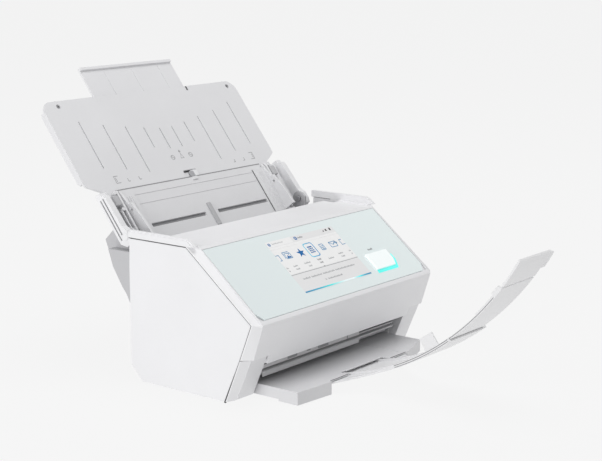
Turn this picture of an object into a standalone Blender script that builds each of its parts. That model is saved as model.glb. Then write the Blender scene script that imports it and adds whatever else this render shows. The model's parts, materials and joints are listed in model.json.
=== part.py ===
"""Sheet fed document scanner, standing open for use: chute raised, stacker out.

Lengths are in millimetres and become metres in finish_mesh. +X is the scanner's
right as seen from its front, the front faces -Y, and the feet stand on Z = 0.
"""
import bpy
import bmesh
from math import atan2, cos, pi, radians, sin, sqrt
from mathutils import Vector

for old_object in list(bpy.data.objects):
    bpy.data.objects.remove(old_object, do_unlink=True)

MM = 0.001
GAP = 0.3

# Body outline, seen from the side
HALF_WIDTH = 146.0
COVER_SIDE = 138.0
SKIN = 2.6
TOP_Z = 142.8
RIM_Z = 150.4
BACK_Y = 80.5
MOUTH_HALF = 114.8
SPLIT_Z = 44.2
SEAM = [(79.5, 142.4), (5.7, 142.4), (-73.1, 79.4), (-59.0, SPLIT_Z), (-39.7, 1.2)]

# Glass on the sloping front
GLASS_FOOT = Vector((0.0, -77.0, 82.8))
GLASS_HEAD = Vector((0.0, -6.7, 140.4))
GLASS_HALF = 136.2
GLASS_LENGTH = 90.8
GLASS_THICK = 1.6

# Paper path: straight plane, then an arc that turns level towards the mouth
FEED_ANGLE = radians(52.0)
FEED_ORIGIN = (103.0, 145.7)
STRAIGHT_END = -77.9
ARC_RADIUS = 150.0
ARC_END = radians(15.0)
PAPER_GAP = 2.2
GUIDE_HALF = 109.0

# Chute lid
CHUTE_HINGE = (90.0, 141.5)
BED_LOW, BED_HIGH = -28.0, 43.0
BED_THICK = 2.6
PANEL_LOW, PANEL_HIGH = 43.5, 153.5
PANEL_FACE, PANEL_BACK = -2.9, -5.1
EXTENSION_HALF = 68.5
EXTENSION_HIGH = 189.8

# Front cover hinge
COVER_HINGE = (-67.2, 44.2)

# Stacker: a tray that slides level, then plates curved about one axis
ARM_AXIS = (-38.0, 286.0)
ARM_OUTER = 283.5
ARM_FLOOR = 282.0
EXT_OUTER, EXT_INNER = 281.7, 279.7
ARM_HALF = 31.0
EXT_HALF = 28.2
TRAY_TOP = 13.2
TRAY_HALF = 111.9

# Shafts, as (y, z) centres
PICK = (86.1, 105.6)
FEED = (66.2, 83.1)
EXIT = (-22.6, 24.9)
MOTOR = (27.0, 33.0)
BRAKE = (51.5, 94.7)
IDLER = (-26.2, 38.5)
PICK_R, FEED_R, EXIT_R = 12.0, 9.5, 7.0
BRAKE_R, IDLER_R = 9.0, 6.5
SHAFT_R, EXIT_SHAFT_R, MOTOR_SHAFT_R = 4.0, 3.0, 2.5
FRAME_X = 126.0
FOOT_R = 8.0

scene_collection = bpy.context.scene.collection


def make_look(name, colour, roughness, metallic=0.0):
    look = bpy.data.materials.new(name)
    look.use_nodes = True
    shader = look.node_tree.nodes["Principled BSDF"]
    shader.inputs["Base Color"].default_value = (*colour, 1.0)
    shader.inputs["Roughness"].default_value = roughness
    shader.inputs["Metallic"].default_value = metallic
    return look


WHITE = ((0.86, 0.86, 0.87), 0.45)
LIGHT_GREY = ((0.70, 0.71, 0.72), 0.5)
MID_GREY = ((0.50, 0.51, 0.53), 0.5)
DARK = ((0.05, 0.05, 0.055), 0.55)
RUBBER = ((0.06, 0.06, 0.065), 0.85)
STEEL = ((0.60, 0.60, 0.62), 0.3, 1.0)
GLASS = ((0.80, 0.87, 0.87), 0.08)


# ---------------------------------------------------------------- mesh helpers

def finish_mesh(name, bm, look):
    bmesh.ops.remove_doubles(bm, verts=bm.verts, dist=0.0005)
    bmesh.ops.recalc_face_normals(bm, faces=bm.faces)
    bmesh.ops.scale(bm, vec=(MM, MM, MM), verts=bm.verts)
    mesh = bpy.data.meshes.new(name)
    bm.to_mesh(mesh)
    bm.free()
    ob = bpy.data.objects.new(name, mesh)
    ob.data.materials.append(make_look(name, *look))
    scene_collection.objects.link(ob)
    return ob


def loft(name, rings, look):
    """Skin equal-length closed rings of (x, y, z) points and cap both ends."""
    bm = bmesh.new()
    made = [[bm.verts.new(p) for p in ring] for ring in rings]
    for low, high in zip(made, made[1:]):
        for i in range(len(low)):
            j = (i + 1) % len(low)
            bm.faces.new((low[i], low[j], high[j], high[i]))
    bm.faces.new(made[0])
    bm.faces.new(made[-1])
    return finish_mesh(name, bm, look)


def prism(name, outline, x0, x1, look):
    """Extrude a (y, z) outline along X."""
    return loft(name, [[(x, y, z) for y, z in outline] for x in (x0, x1)], look)


def slab(name, outline, z0, z1, look):
    """Extrude an (x, y) outline along Z."""
    return loft(name, [[(x, y, z) for x, y in outline] for z in (z0, z1)], look)


def box(name, low, high, look):
    outline = [(low[0], low[1]), (high[0], low[1]), (high[0], high[1]), (low[0], high[1])]
    return slab(name, outline, low[2], high[2], look)


def turned(name, centre, profile, look, sides=24):
    """Solid of revolution about an X line through centre; profile is (x, radius)."""
    turns = [2 * pi * i / sides for i in range(sides)]
    rings = [[(x, centre[0] + r * cos(t), centre[1] + r * sin(t)) for t in turns]
             for x, r in profile]
    return loft(name, rings, look)


def rod(name, centre, radius, x0, x1, look, sides=24):
    return turned(name, centre, [(x0, radius), (x1, radius)], look, sides)


def combine(target, tools, operation):
    """Apply a Boolean of each tool on target, and drop the tools."""
    for tool in tools:
        step = target.modifiers.new(operation.lower(), "BOOLEAN")
        step.operation = operation
        step.solver = "EXACT"
        step.object = tool
    bpy.context.view_layer.update()
    depsgraph = bpy.context.evaluated_depsgraph_get()
    solid = bpy.data.meshes.new_from_object(target.evaluated_get(depsgraph))
    target.modifiers.clear()
    target.data = solid
    for tool in tools:
        bpy.data.objects.remove(tool, do_unlink=True)
    return target


def fuse(target, *tools):
    return combine(target, tools, "UNION")


def carve(target, *tools):
    return combine(target, tools, "DIFFERENCE")


def both_sides(make):
    """Call make with the side's name and sign."""
    return [make("left", -1.0), make("right", 1.0)]


def across(sign, near, far):
    """X limits of a piece between two distances from the middle."""
    return sorted((sign * near, sign * far))


def arc(centre, radius, start, end, steps):
    """Points of (y, z) hung below centre; angles run from straight down towards -Y."""
    turns = [start + (end - start) * i / steps for i in range(steps + 1)]
    return [(centre[0] - radius * sin(t), centre[1] - radius * cos(t)) for t in turns]


# ------------------------------------------------------------------ paper path

def feed(along, off=0.0):
    """(y, z) of a point up the chute plane, and off it towards the paper."""
    return (FEED_ORIGIN[0] + along * cos(FEED_ANGLE) - off * sin(FEED_ANGLE),
            FEED_ORIGIN[1] + along * sin(FEED_ANGLE) + off * cos(FEED_ANGLE))


def path_centre():
    start = feed(STRAIGHT_END)
    return (start[0] - ARC_RADIUS * sin(FEED_ANGLE), start[1] + ARC_RADIUS * cos(FEED_ANGLE))


def path_point(slope, along=0.0, off=0.0):
    """(y, z) near the curved path where its slope is the given angle."""
    centre = path_centre()
    radius = ARC_RADIUS - off
    return (centre[0] + radius * sin(slope) + along * cos(slope),
            centre[1] - radius * cos(slope) + along * sin(slope))


def path_line(off, top, run_out, steps=8):
    """The whole path, offset, from the straight part to its end by the mouth."""
    line = [feed(top, off)]
    for i in range(steps + 1):
        line.append(path_point(FEED_ANGLE + (ARC_END - FEED_ANGLE) * i / steps, 0.0, off))
    line.append(path_point(ARC_END, -run_out, off))
    return line


def path_box(name, slope, along, off, half, look):
    """A block across the path; along and off are (low, high) pairs."""
    corners = [(along[0], off[0]), (along[1], off[0]), (along[1], off[1]), (along[0], off[1])]
    outline = []
    for a, d in corners:
        y, z = path_point(slope, a)
        outline.append((y - d * sin(slope), z + d * cos(slope)))
    return prism(name, outline, -half, half, look)


def feed_plate(name, outline, off0, off1, look):
    """A plate lying in the chute plane; outline is (x, along)."""
    rings = [[(x, *feed(along, off)) for x, along in outline] for off in (off0, off1)]
    return loft(name, rings, look)


def feed_side(name, outline, x0, x1, look):
    """A plate standing on the chute plane; outline is (along, off)."""
    return prism(name, [feed(along, off) for along, off in outline], x0, x1, look)


def rectangle(half, low, high):
    return [(-half, low), (half, low), (half, high), (-half, high)]


def strip(x0, x1, low, high):
    return [(x0, low), (x1, low), (x1, high), (x0, high)]


# ----------------------------------------------------------------- slope plane

def slope_axes():
    up = (GLASS_HEAD - GLASS_FOOT).normalized()
    return up, Vector((0.0, -up.z, up.y))


def slope_plate(name, outline, off0, off1, look):
    """A plate lying in the glass; outline is (x, distance up the slope)."""
    up, out = slope_axes()
    rings = []
    for off in (off0, off1):
        base = GLASS_FOOT + out * off
        rings.append([(x, base.y + up.y * e, base.z + up.z * e) for x, e in outline])
    return loft(name, rings, look)


# ------------------------------------------------------------------- the body

def seam_edge(offset):
    """The side seam, moved outwards by offset."""
    moved = []
    for i, point in enumerate(SEAM):
        before = SEAM[max(i - 1, 0)]
        after = SEAM[min(i + 1, len(SEAM) - 1)]
        normals = []
        for a, b in ((before, point), (point, after)):
            length = sqrt((b[0] - a[0]) ** 2 + (b[1] - a[1]) ** 2)
            if length > 0:
                normals.append(((b[1] - a[1]) / length, -(b[0] - a[0]) / length))
        n = (sum(v[0] for v in normals), sum(v[1] for v in normals))
        scale = offset * len(normals) / (n[0] ** 2 + n[1] ** 2)
        moved.append((point[0] + n[0] * scale, point[1] + n[1] * scale))
    return moved


def make_side_cover(side, sign):
    outline = list(SEAM) + [(66.2, 1.2), (BACK_Y, 16.3), (BACK_Y, 111.0)]
    x0, x1 = across(sign, HALF_WIDTH - 2.5, HALF_WIDTH)
    return prism(side + "_side_cover", outline, x0, x1, WHITE)


LEG_FRONT = [(-66.8, SPLIT_Z - GAP), (-49.0, 3.2), (-45.5, 1.5)]
LEG_SEAM = [(-58.4, SPLIT_Z - GAP), (-41.2, 3.2), (-40.4, 1.5)]


def make_leg(name, sign):
    """Front corner of the base: a block with a chamfered outer edge."""
    block = LEG_FRONT + [(-34.0, 1.5), (-50.0, SPLIT_Z - GAP)]
    x0, x1 = across(sign, MOUTH_HALF, COVER_SIDE + 0.5)
    leg = prism(name, block, x0, x1, LIGHT_GREY)
    inner = [(y - 0.9, z) for y, z in LEG_SEAM]
    outer = [(y - 2.2, z) for y, z in LEG_SEAM]
    rings = []
    for x, front in ((COVER_SIDE, LEG_FRONT), (HALF_WIDTH, outer)):
        rings.append([(sign * x, y, z) for y, z in front + inner[::-1]])
    backing = prism(name + "_back", LEG_FRONT + [(-38.0, 1.5), (-55.4, SPLIT_Z - GAP)],
                    *across(sign, COVER_SIDE - 0.5, COVER_SIDE + 0.5), LIGHT_GREY)
    return fuse(leg, backing, loft(name + "_edge", rings, LIGHT_GREY))


def make_base_casing():
    """Bridge over the stacker bay, with legs, outer floors and the arm's tunnel."""
    roof = box("base_casing", (-116.0, -40.0, 14.6), (116.0, 74.6, 16.8), LIGHT_GREY)
    carve(roof, box("gap", (-69.0, 9.0, 13.0), (69.0, 74.5, 18.0), WHITE))
    tunnel = prism("tunnel", [(7.0, 14.6), (74.5, 33.4), (77.8, 33.4), (77.8, 36.0),
                              (73.5, 36.0), (6.0, 16.8)], -71.0, 71.0, WHITE)
    pieces = [tunnel]
    cheek = [(7.0, 14.6), (74.6, 14.6), (77.6, 20.0), (77.6, 35.0), (74.0, 35.0), (7.0, 16.2)]
    for side, sign in (("left", -1.0), ("right", 1.0)):
        pieces.append(prism(side + "_cheek", cheek, *across(sign, 68.8, 71.0), WHITE))
        pieces.append(box(side + "_wall", (min(sign * 113.6, sign * 116.0), -44.0, 1.5),
                          (max(sign * 113.6, sign * 116.0), 64.0, 16.8), WHITE))
        pieces.append(box(side + "_floor", (min(sign * 113.6, sign * 143.2), -36.0, 1.5),
                          (max(sign * 113.6, sign * 143.2), 64.0, 3.7), WHITE))
        pieces.append(make_leg(side + "_leg", sign))
    return fuse(roof, *pieces)


def make_rear_cover():
    outline = [(64.4, 1.5), (66.5, 1.5), (BACK_Y, 16.0), (BACK_Y, 75.4), (78.3, 75.4),
               (78.3, 17.4), (65.4, 4.2), (64.4, 4.2)]
    cover = prism("rear_cover", outline, -143.2, 143.2, WHITE)
    return carve(cover,
                 box("usb_hole", (58.0, 70.0, 44.0), (74.0, 90.0, 53.0), WHITE),
                 box("power_hole", (92.0, 70.0, 42.0), (103.0, 90.0, 53.0), WHITE))


HOOD_SHOULDER = [(86.2, 85.4), (92.0, 92.4), (104.0, 110.7), (110.4, 128.0)]
HOOD_SHELL = [(94.0, 79.6), (102.4, 89.2), (114.6, 107.8), (125.4, 133.6), (109.8, 148.7)]
LUG_R = 8.1


def make_rear_hood():
    """Rear bulge behind the chute; lugs on its cheeks carry the chute hinge pins."""
    lug = [(CHUTE_HINGE[0] + LUG_R * cos(radians(t)), CHUTE_HINGE[1] + LUG_R * sin(radians(t)))
           for t in (-20, 10, 40, 70, 100, 130)]
    shell = [(81.1, 76.0)] + HOOD_SHELL + [(100.6, 136.8)] + lug + [(81.1, 144.6)]
    hood = prism("rear_hood", shell, -133.0, 133.0, MID_GREY)
    shoulder = [(81.1, 76.0)] + HOOD_SHOULDER + [(81.1, 128.0)]
    fuse(hood, prism("shoulder", shoulder, -144.5, 144.5, MID_GREY))
    inner = [(70.0, 66.0), (81.1, 79.4), (92.6, 82.2), (100.3, 90.7), (112.4, 109.0),
             (122.7, 133.6), (130.0, 133.6), (130.0, 160.0), (70.0, 160.0)]
    ends = [(70.0, 66.0), (81.1, 80.2), (84.4, 86.6), (90.2, 93.6), (102.0, 111.6),
            (107.3, 125.8), (70.0, 125.8)]
    return carve(hood, prism("hollow", inner, -130.5, 130.5, WHITE),
                 prism("end_room", ends, -142.0, 142.0, WHITE),
                 rod("pin_hole", CHUTE_HINGE, 3.3, -150.0, 150.0, WHITE, 16))


def make_side_frame(side, sign):
    """Pressed steel plate between the drive train and the paper path."""
    outline = [(-36.0, 18.0), (72.0, 18.0), (77.0, 60.0), (77.0, 92.0), (97.0, 108.0),
               (86.0, 122.0), (62.0, 106.0), (34.0, 76.0), (-2.0, 46.0), (-36.0, 34.0)]
    x0, x1 = across(sign, FRAME_X, FRAME_X + 1.8)
    frame = prism(side + "_frame", outline, x0, x1, STEEL)
    holes = []
    for label, centre, radius in (("pick", PICK, 5.4), ("feed", FEED, 5.4),
                                  ("exit", EXIT, 4.4), ("motor", MOTOR, 4.4)):
        holes.append(rod(label, centre, radius, x0 - 5.0, x1 + 5.0, WHITE, 16))
    return carve(frame, *holes)


def make_foot(name, x, y):
    turns = [2 * pi * i / 20 for i in range(20)]
    outline = [(x + FOOT_R * cos(t), y + FOOT_R * sin(t)) for t in turns]
    return slab(name, outline, 0.0, 1.2, RUBBER)


def make_lower_guide():
    top = path_line(0.0, -28.6, 30.0)
    under = path_line(-2.0, -28.6, 30.0)
    guide = prism("lower_guide", top + under[::-1], -GUIDE_HALF, GUIDE_HALF, DARK)
    windows = []
    for sign in (-1.0, 1.0):
        x0, x1 = across(sign, 13.0, 41.0)
        pick = [(-51.0, -6.0), (-33.0, -6.0), (-33.0, 4.0), (-51.0, 4.0)]
        windows.append(feed_side("pick_window", pick, x0, x1, WHITE))
        roll = [(-80.5, -6.0), (-63.5, -6.0), (-63.5, 4.0), (-80.5, 4.0)]
        windows.append(feed_side("feed_window", roll, x0, x1, WHITE))
        for near, far in ((20.0, 36.0), (64.0, 80.0)):
            piece = path_box("exit_window", ARC_END, (-6.5, 6.5), (-6.0, 4.0),
                             (far - near) / 2, WHITE)
            piece.location.x = sign * (near + far) / 2 * MM
            windows.append(piece)
    windows.append(path_box("scan_window", radians(42.0), (-7.4, 7.4), (-8.0, 4.0),
                            104.0, WHITE))
    return carve(guide, *windows)


def make_rear_scan_unit():
    unit = path_box("rear_scan_unit", radians(42.0), (-7.0, 7.0), (-16.0, -1.4), 103.5, DARK)
    pane = path_box("rear_scan_glass", radians(42.0), (-6.2, 6.2), (-1.1, -0.1), 102.0, GLASS)
    return unit, pane


def make_main_board():
    board = box("main_board", (-40.0, 70.0, 38.0), (124.0, 71.6, 70.0), ((0.05, 0.2, 0.1), 0.5))
    usb = box("usb_socket", (59.0, 72.0, 44.8), (73.0, 80.3, 52.2), STEEL)
    carve(usb, box("usb_mouth", (60.2, 76.0, 46.0), (71.8, 82.0, 51.0), WHITE))
    power = box("power_socket", (93.0, 72.0, 42.8), (102.0, 80.3, 52.2), DARK)
    barrel = [(97.5 + 3.0 * cos(t), 47.5 + 3.0 * sin(t)) for t in (pi * i / 8 for i in range(16))]
    mouth = loft("mouth", [[(x, y, z) for x, z in barrel] for y in (75.0, 82.0)], WHITE)
    carve(power, mouth)
    return board, usb, power


# ----------------------------------------------------------------- drive train

def make_motor():
    return turned("drive_motor", MOTOR, [(-118.0, 15.0), (-84.0, 15.0)], STEEL)


def make_shafts():
    """Each shaft is one turned piece from its pulley end to the far bearing."""
    shafts = {}
    for name, centre, radius, far_end in (("pick_shaft", PICK, SHAFT_R, 129.5),
                                          ("feed_shaft", FEED, SHAFT_R, 129.5),
                                          ("exit_shaft", EXIT, EXIT_SHAFT_R, 129.5),
                                          ("motor_shaft", MOTOR, MOTOR_SHAFT_R, -118.3)):
        shafts[name] = rod(name, centre, radius, -140.0, far_end, STEEL, 16)
    return shafts


def make_tyre(name, centre, shaft_radius, radius, x0, x1):
    """Rubber ring around its shaft."""
    tyre = rod(name, centre, radius, x0, x1, RUBBER, 28)
    return carve(tyre, rod("bore", centre, shaft_radius + GAP, x0 - 1.0, x1 + 1.0, WHITE, 16))


def make_pulley(name, centre, shaft_radius, radius, x0, x1):
    middle = [(x0, radius + 1.6), (x0 + 0.8, radius + 1.6), (x0 + 0.81, radius),
              (x1 - 0.81, radius), (x1 - 0.8, radius + 1.6), (x1, radius + 1.6)]
    pulley = turned(name, centre, middle, WHITE, 20)
    return carve(pulley, rod("bore", centre, shaft_radius + GAP, x0 - 1.0, x1 + 1.0, WHITE, 16))


def belt_outline(first, radius1, second, radius2, steps=10):
    """Outer tangent loop round two circles, as (y, z) points."""
    dy, dz = second[0] - first[0], second[1] - first[1]
    reach = sqrt(dy * dy + dz * dz)
    heading = atan2(dz, dy)
    lean = atan2(sqrt(reach ** 2 - (radius1 - radius2) ** 2), radius1 - radius2)
    points = []
    for i in range(steps + 1):
        t = heading + lean + (2 * pi - 2 * lean) * i / steps
        points.append((first[0] + radius1 * cos(t), first[1] + radius1 * sin(t)))
    for i in range(steps + 1):
        t = heading - lean + 2 * lean * i / steps
        points.append((second[0] + radius2 * cos(t), second[1] + radius2 * sin(t)))
    return points


def make_belt(name, first, radius1, second, radius2, x0, x1):
    outer = belt_outline(first, radius1 + GAP + 1.1, second, radius2 + GAP + 1.1)
    inner = belt_outline(first, radius1 + GAP, second, radius2 + GAP)
    belt = prism(name, outer, x0, x1, RUBBER)
    return carve(belt, prism("inside", inner, x0 - 1.0, x1 + 1.0, WHITE))


# ---------------------------------------------------------------- front cover

NOSE = [(-66.8, 36.0), (-80.4, 76.4), (-80.8, 79.2), (-79.6, 80.7)]
CREST = [(-5.6, 141.3), (-3.2, 142.5), (0.0, TOP_Z)]


def cover_section():
    """Closed (y, z) section of the skin, outside first, then back inside."""
    outside = NOSE + CREST + [(54.5, TOP_Z), (54.5, 127.0)]
    inside = [(52.0, 127.0), (52.0, TOP_Z - SKIN), (0.8, TOP_Z - SKIN), (-2.6, 139.0),
              (-76.8, 78.2), (-77.8, 76.0), (-65.8, 40.2), (-60.0, 40.2), (-60.0, 36.0)]
    return outside + inside


def make_cover_edge(sign):
    """Chamfered side band between the front face and the side seam."""
    seam_in = seam_edge(0.6)
    seam_out = seam_edge(1.8)
    inner = [(-59.7, SPLIT_Z + GAP), seam_in[2], seam_in[1]]
    edge = [(-61.0, SPLIT_Z + GAP), seam_out[2], (seam_in[1][0], seam_out[1][1])]
    front = [(-69.6, SPLIT_Z + GAP), (-80.6, 78.0), (-4.4, 142.0)]
    rings = []
    for x, line in ((COVER_SIDE, front), (HALF_WIDTH, edge)):
        rings.append([(sign * x, y, z) for y, z in line + inner[::-1]])
    band = loft("band", rings, WHITE)
    web = front + [(1.0, 142.7), (54.2, 142.7), (54.2, TOP_Z - SKIN), (1.2, TOP_Z - SKIN),
                   (-72.0, 80.2), (-58.5, SPLIT_Z + GAP)]
    x0, x1 = across(sign, COVER_SIDE - 2.0, COVER_SIDE + 0.4)
    return band, prism("web", web, x0, x1, WHITE)


def make_rim(sign):
    """Raised border beside the closed lid, and the ledge that joins it to the top."""
    top = [(80.2, 143.3), (80.2, RIM_Z - 0.6), (79.0, RIM_Z), (6.0, RIM_Z), (2.0, 148.6),
           (-4.8, 143.3)]
    x0, x1 = across(sign, 141.2, HALF_WIDTH - 1.0)
    rim = prism("rim", top, x0, x1, WHITE)
    lower = [(80.2, 143.3), (80.2, RIM_Z - 1.6), (5.0, RIM_Z - 1.6), (-1.5, 143.3)]
    side = prism("rim_side", lower, *across(sign, HALF_WIDTH - 2.0, HALF_WIDTH), WHITE)
    x0, x1 = across(sign, 136.5, 142.2)
    ledge = box("ledge", (x0, -1.0, 140.4), (x1, 54.0, 143.8), WHITE)
    return rim, side, ledge


def make_front_cover():
    cover = prism("front_cover", cover_section(), -COVER_SIDE, COVER_SIDE, WHITE)
    extra = []
    for sign in (-1.0, 1.0):
        extra.extend(make_cover_edge(sign))
        extra.extend(make_rim(sign))
    fuse(cover, *extra)
    glass = [(-GLASS_HALF - 0.6, -0.6), (GLASS_HALF + 0.6, -0.6),
             (GLASS_HALF + 0.6, GLASS_LENGTH + 0.4), (-GLASS_HALF - 0.6, GLASS_LENGTH + 0.4)]
    cuts = [slope_plate("pocket", glass, -GLASS_THICK - 0.3, 6.0, WHITE),
            slope_plate("screen_hole", rectangle(58.0, 11.0, 84.0), -9.0, 2.0, WHITE),
            slope_plate("button_hole", strip(63.0, 101.2, 15.0, 37.8), -9.0, 2.0, WHITE)]
    for sign in (-1.0, 1.0):
        x0, x1 = across(sign, MOUTH_HALF, 150.0)
        cuts.append(box("leg_room", (x0, -75.0, 30.0), (x1, -52.0, SPLIT_Z + GAP), WHITE))
        x0, x1 = across(sign, 129.0, 141.2)
        cuts.append(box("arm_room", (x0, 40.0, 120.0), (x1, 60.0, 160.0), WHITE))
    return carve(cover, *cuts)


def glass_outline(inset):
    half, length = GLASS_HALF - inset, GLASS_LENGTH - inset
    return [(-half + 6.6, inset), (half - 6.6, inset), (half, 8.8), (half, length),
            (-half, length), (-half, 8.8)]


def make_touch_glass():
    glass = slope_plate("touch_glass", glass_outline(0.0), -GLASS_THICK, 0.0, GLASS)
    return carve(glass, slope_plate("key_hole", button_outline(0.4), -4.0, 4.0, WHITE))


def button_outline(grow):
    low, high = 16.0 - grow, 36.8 + grow
    left, right = 64.0 - grow, 100.2 + grow
    return [(left, low), (right - 4.0, low), (right, low + 7.6), (right, high), (left, high)]


def make_button():
    cap = slope_plate("scan_button", button_outline(0.0), -1.5, 1.8, WHITE)
    stem = slope_plate("stem", strip(68.0, 95.0, 20.0, 33.0), -6.0, -1.0, WHITE)
    return fuse(cap, stem)


def make_upper_guide():
    lower = path_line(PAPER_GAP, -66.0, 29.0)
    upper = path_line(PAPER_GAP + 2.0, -66.0, 29.0)
    lead_low = [(55.6, 124.5), (62.4, 108.0)]
    lead_up = [(53.4, 124.5), (59.8, 107.6)]
    outline = lead_low + lower + upper[::-1] + lead_up[::-1]
    guide = prism("upper_guide", outline, -GUIDE_HALF, GUIDE_HALF, LIGHT_GREY)
    window = path_box("scan_window", radians(32.0), (-7.4, 7.4), (-1.0, 9.0), 104.0, WHITE)
    cuts = [window]
    for x0, x1 in ((-41.0, -13.0), (13.0, 41.0)):
        roll = [(-81.0, 1.0), (-60.0, 1.0), (-60.0, 8.0), (-81.0, 8.0)]
        cuts.append(feed_side("brake_window", roll, x0, x1, WHITE))
    for middle in (-72.0, -28.0, 28.0, 72.0):
        piece = path_box("idler_window", ARC_END, (-7.0, 6.5), (1.0, 7.0), 8.0, WHITE)
        piece.location.x = middle * MM
        cuts.append(piece)
    return carve(guide, *cuts)


def make_front_scan_unit():
    unit = path_box("front_scan_unit", radians(32.0), (-7.0, 7.0), (3.5, 17.0), 103.5, DARK)
    pane = path_box("front_scan_glass", radians(32.0), (-6.2, 6.2), (2.3, 3.2), 102.0, GLASS)
    return unit, pane


# ---------------------------------------------------------------------- chute

def make_hopper_bed():
    bed = feed_plate("hopper_bed", rectangle(127.0, BED_LOW, BED_HIGH), -BED_THICK, 0.0, LIGHT_GREY)
    rib = feed_side("rib", [(-18.0, -1.0), (-18.0, 1.4), (9.0, 1.4), (10.5, -1.0)],
                    -1.2, 2.6, LIGHT_GREY)
    fuse(bed, rib)
    cuts = []
    for sign in (-1.0, 1.0):
        x0, x1 = across(sign, 9.5, 90.3)
        cuts.append(feed_plate("slot", strip(x0, x1, -4.2, 0.0), -5.0, 3.0, WHITE))
    return carve(bed, *cuts)


ARM_OUTLINE = [(-21.0, 4.0), (-19.5, 11.5), (-15.0, 13.2), (-7.0, 13.2), (-1.0, 10.2), (30.0, 9.2),
               (35.5, 8.4), (37.6, 4.6), (41.0, 4.2), (41.0, -2.4), (-14.0, -2.4)]


def make_chute_arm(side, sign):
    x0, x1 = across(sign, 133.6, 140.6)
    plate = feed_side(side + "_chute_arm", ARM_OUTLINE, x0, x1, WHITE)
    grooves = []
    for low, high in ((0.4, 2.2), (4.4, 6.2)):
        near, far = across(sign, 139.2, 142.0)
        run = [(-12.0, low), (34.0, low), (34.0, high), (-12.0, high)]
        grooves.append(feed_side("groove", run, near, far, WHITE))
    web = feed_plate("web", strip(*across(sign, 127.5, 134.5), -8.0, 39.6), -2.3, -0.4, WHITE)
    return carve(fuse(plate, web), rod("pin_hole", CHUTE_HINGE, 3.4, x0 - 5.0, x1 + 5.0, WHITE, 16),
                 *grooves)


def make_slide_rail(side, sign):
    """Bar behind the panel that it slides down as the lid closes."""
    x0, x1 = across(sign, 100.0, 107.0)
    return feed_side(side + "_slide_rail", [(-27.0, -2.9), (-27.0, -10.0), (104.0, -10.0),
                                            (104.0, -6.6), (-19.5, -6.6), (-19.5, -2.9)],
                     x0, x1, MID_GREY)


def make_hinge_pin(side, sign):
    return rod(side + "_hinge_pin", CHUTE_HINGE, 3.0, *across(sign, 129.4, 140.2), STEEL, 16)


def rounded(outline, corners, steps=4):
    """Replace the chosen corners of an outline by arcs of the given radius."""
    points = []
    count = len(outline)
    for i, p in enumerate(outline):
        radius = corners.get(i, 0.0)
        if radius == 0.0:
            points.append(p)
            continue
        here = Vector(p)
        to_last = (Vector(outline[i - 1]) - here).normalized()
        to_next = (Vector(outline[(i + 1) % count]) - here).normalized()
        half = to_last.angle(to_next) / 2
        centre = here + (to_last + to_next).normalized() * (radius / sin(half))
        start = here + to_last * (radius * cos(half) / sin(half)) - centre
        end = here + to_next * (radius * cos(half) / sin(half)) - centre
        for k in range(steps + 1):
            blend = start.lerp(end, k / steps).normalized() * radius
            points.append(tuple(centre + blend))
    return points


def make_chute_panel():
    half = HALF_WIDTH
    outline = [(-108.0, PANEL_LOW), (108.0, PANEL_LOW), (121.5, 41.6), (half, 54.5), (half, 145.0),
               (138.0, PANEL_HIGH), (-138.0, PANEL_HIGH), (-half, 145.0), (-half, 54.5),
               (-121.5, 41.6)]
    corners = {3: 5.0, 4: 8.0, 5: 8.0, 6: 8.0, 7: 8.0, 8: 5.0}
    panel = feed_plate("chute_panel", rounded(outline, corners), PANEL_BACK, PANEL_FACE, LIGHT_GREY)
    flanges = []
    for sign in (-1.0, 1.0):
        flanges.append(feed_side("flange", [(58.0, -4.0), (58.0, -8.6), (62.0, -10.4), (138.0, -10.4),
                                            (143.0, -8.6), (143.0, -4.0)],
                                 *across(sign, 143.2, half), LIGHT_GREY))
        flanges.append(feed_side("keeper", [(84.0, -4.0), (84.0, -8.6), (150.0, -8.6), (150.0, -4.0)],
                                 *across(sign, 69.2, 71.4), LIGHT_GREY))
    return fuse(panel, *flanges)


def make_panel_latch():
    """Small catch on the bed's upper edge that holds the panel up."""
    return feed_plate("panel_latch", strip(-9.0, 9.0, 37.0, 42.6), GAP, 1.8, WHITE)


def make_extension():
    sheet = feed_plate("chute_extension", rectangle(EXTENSION_HALF, 100.0, EXTENSION_HIGH),
                       -7.6, -5.5, LIGHT_GREY)
    lip = feed_plate("lip", rectangle(EXTENSION_HALF, EXTENSION_HIGH - 2.6, EXTENSION_HIGH + 0.6),
                     -7.6, -3.4, LIGHT_GREY)
    return fuse(sheet, lip)


def make_side_guide(side, sign):
    x0, x1 = across(sign, 93.0, 110.2)
    base = feed_plate(side + "_side_guide", strip(x0, x1, -18.0, 37.0), GAP, 1.5, LIGHT_GREY)
    fence = feed_side("fence", [(-17.6, 0.7), (-17.6, 15.2), (8.0, 12.6), (22.6, 9.4), (23.6, 5.6),
                                (40.0, 2.4), (41.5, 0.7)],
                      *across(sign, 109.4, 112.6), LIGHT_GREY)
    hole = rod("peep_hole", feed(16.0, 6.4), 1.6, -150.0, 150.0, WHITE, 12)
    return carve(fuse(base, fence), hole)


# -------------------------------------------------------------------- stacker

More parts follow.
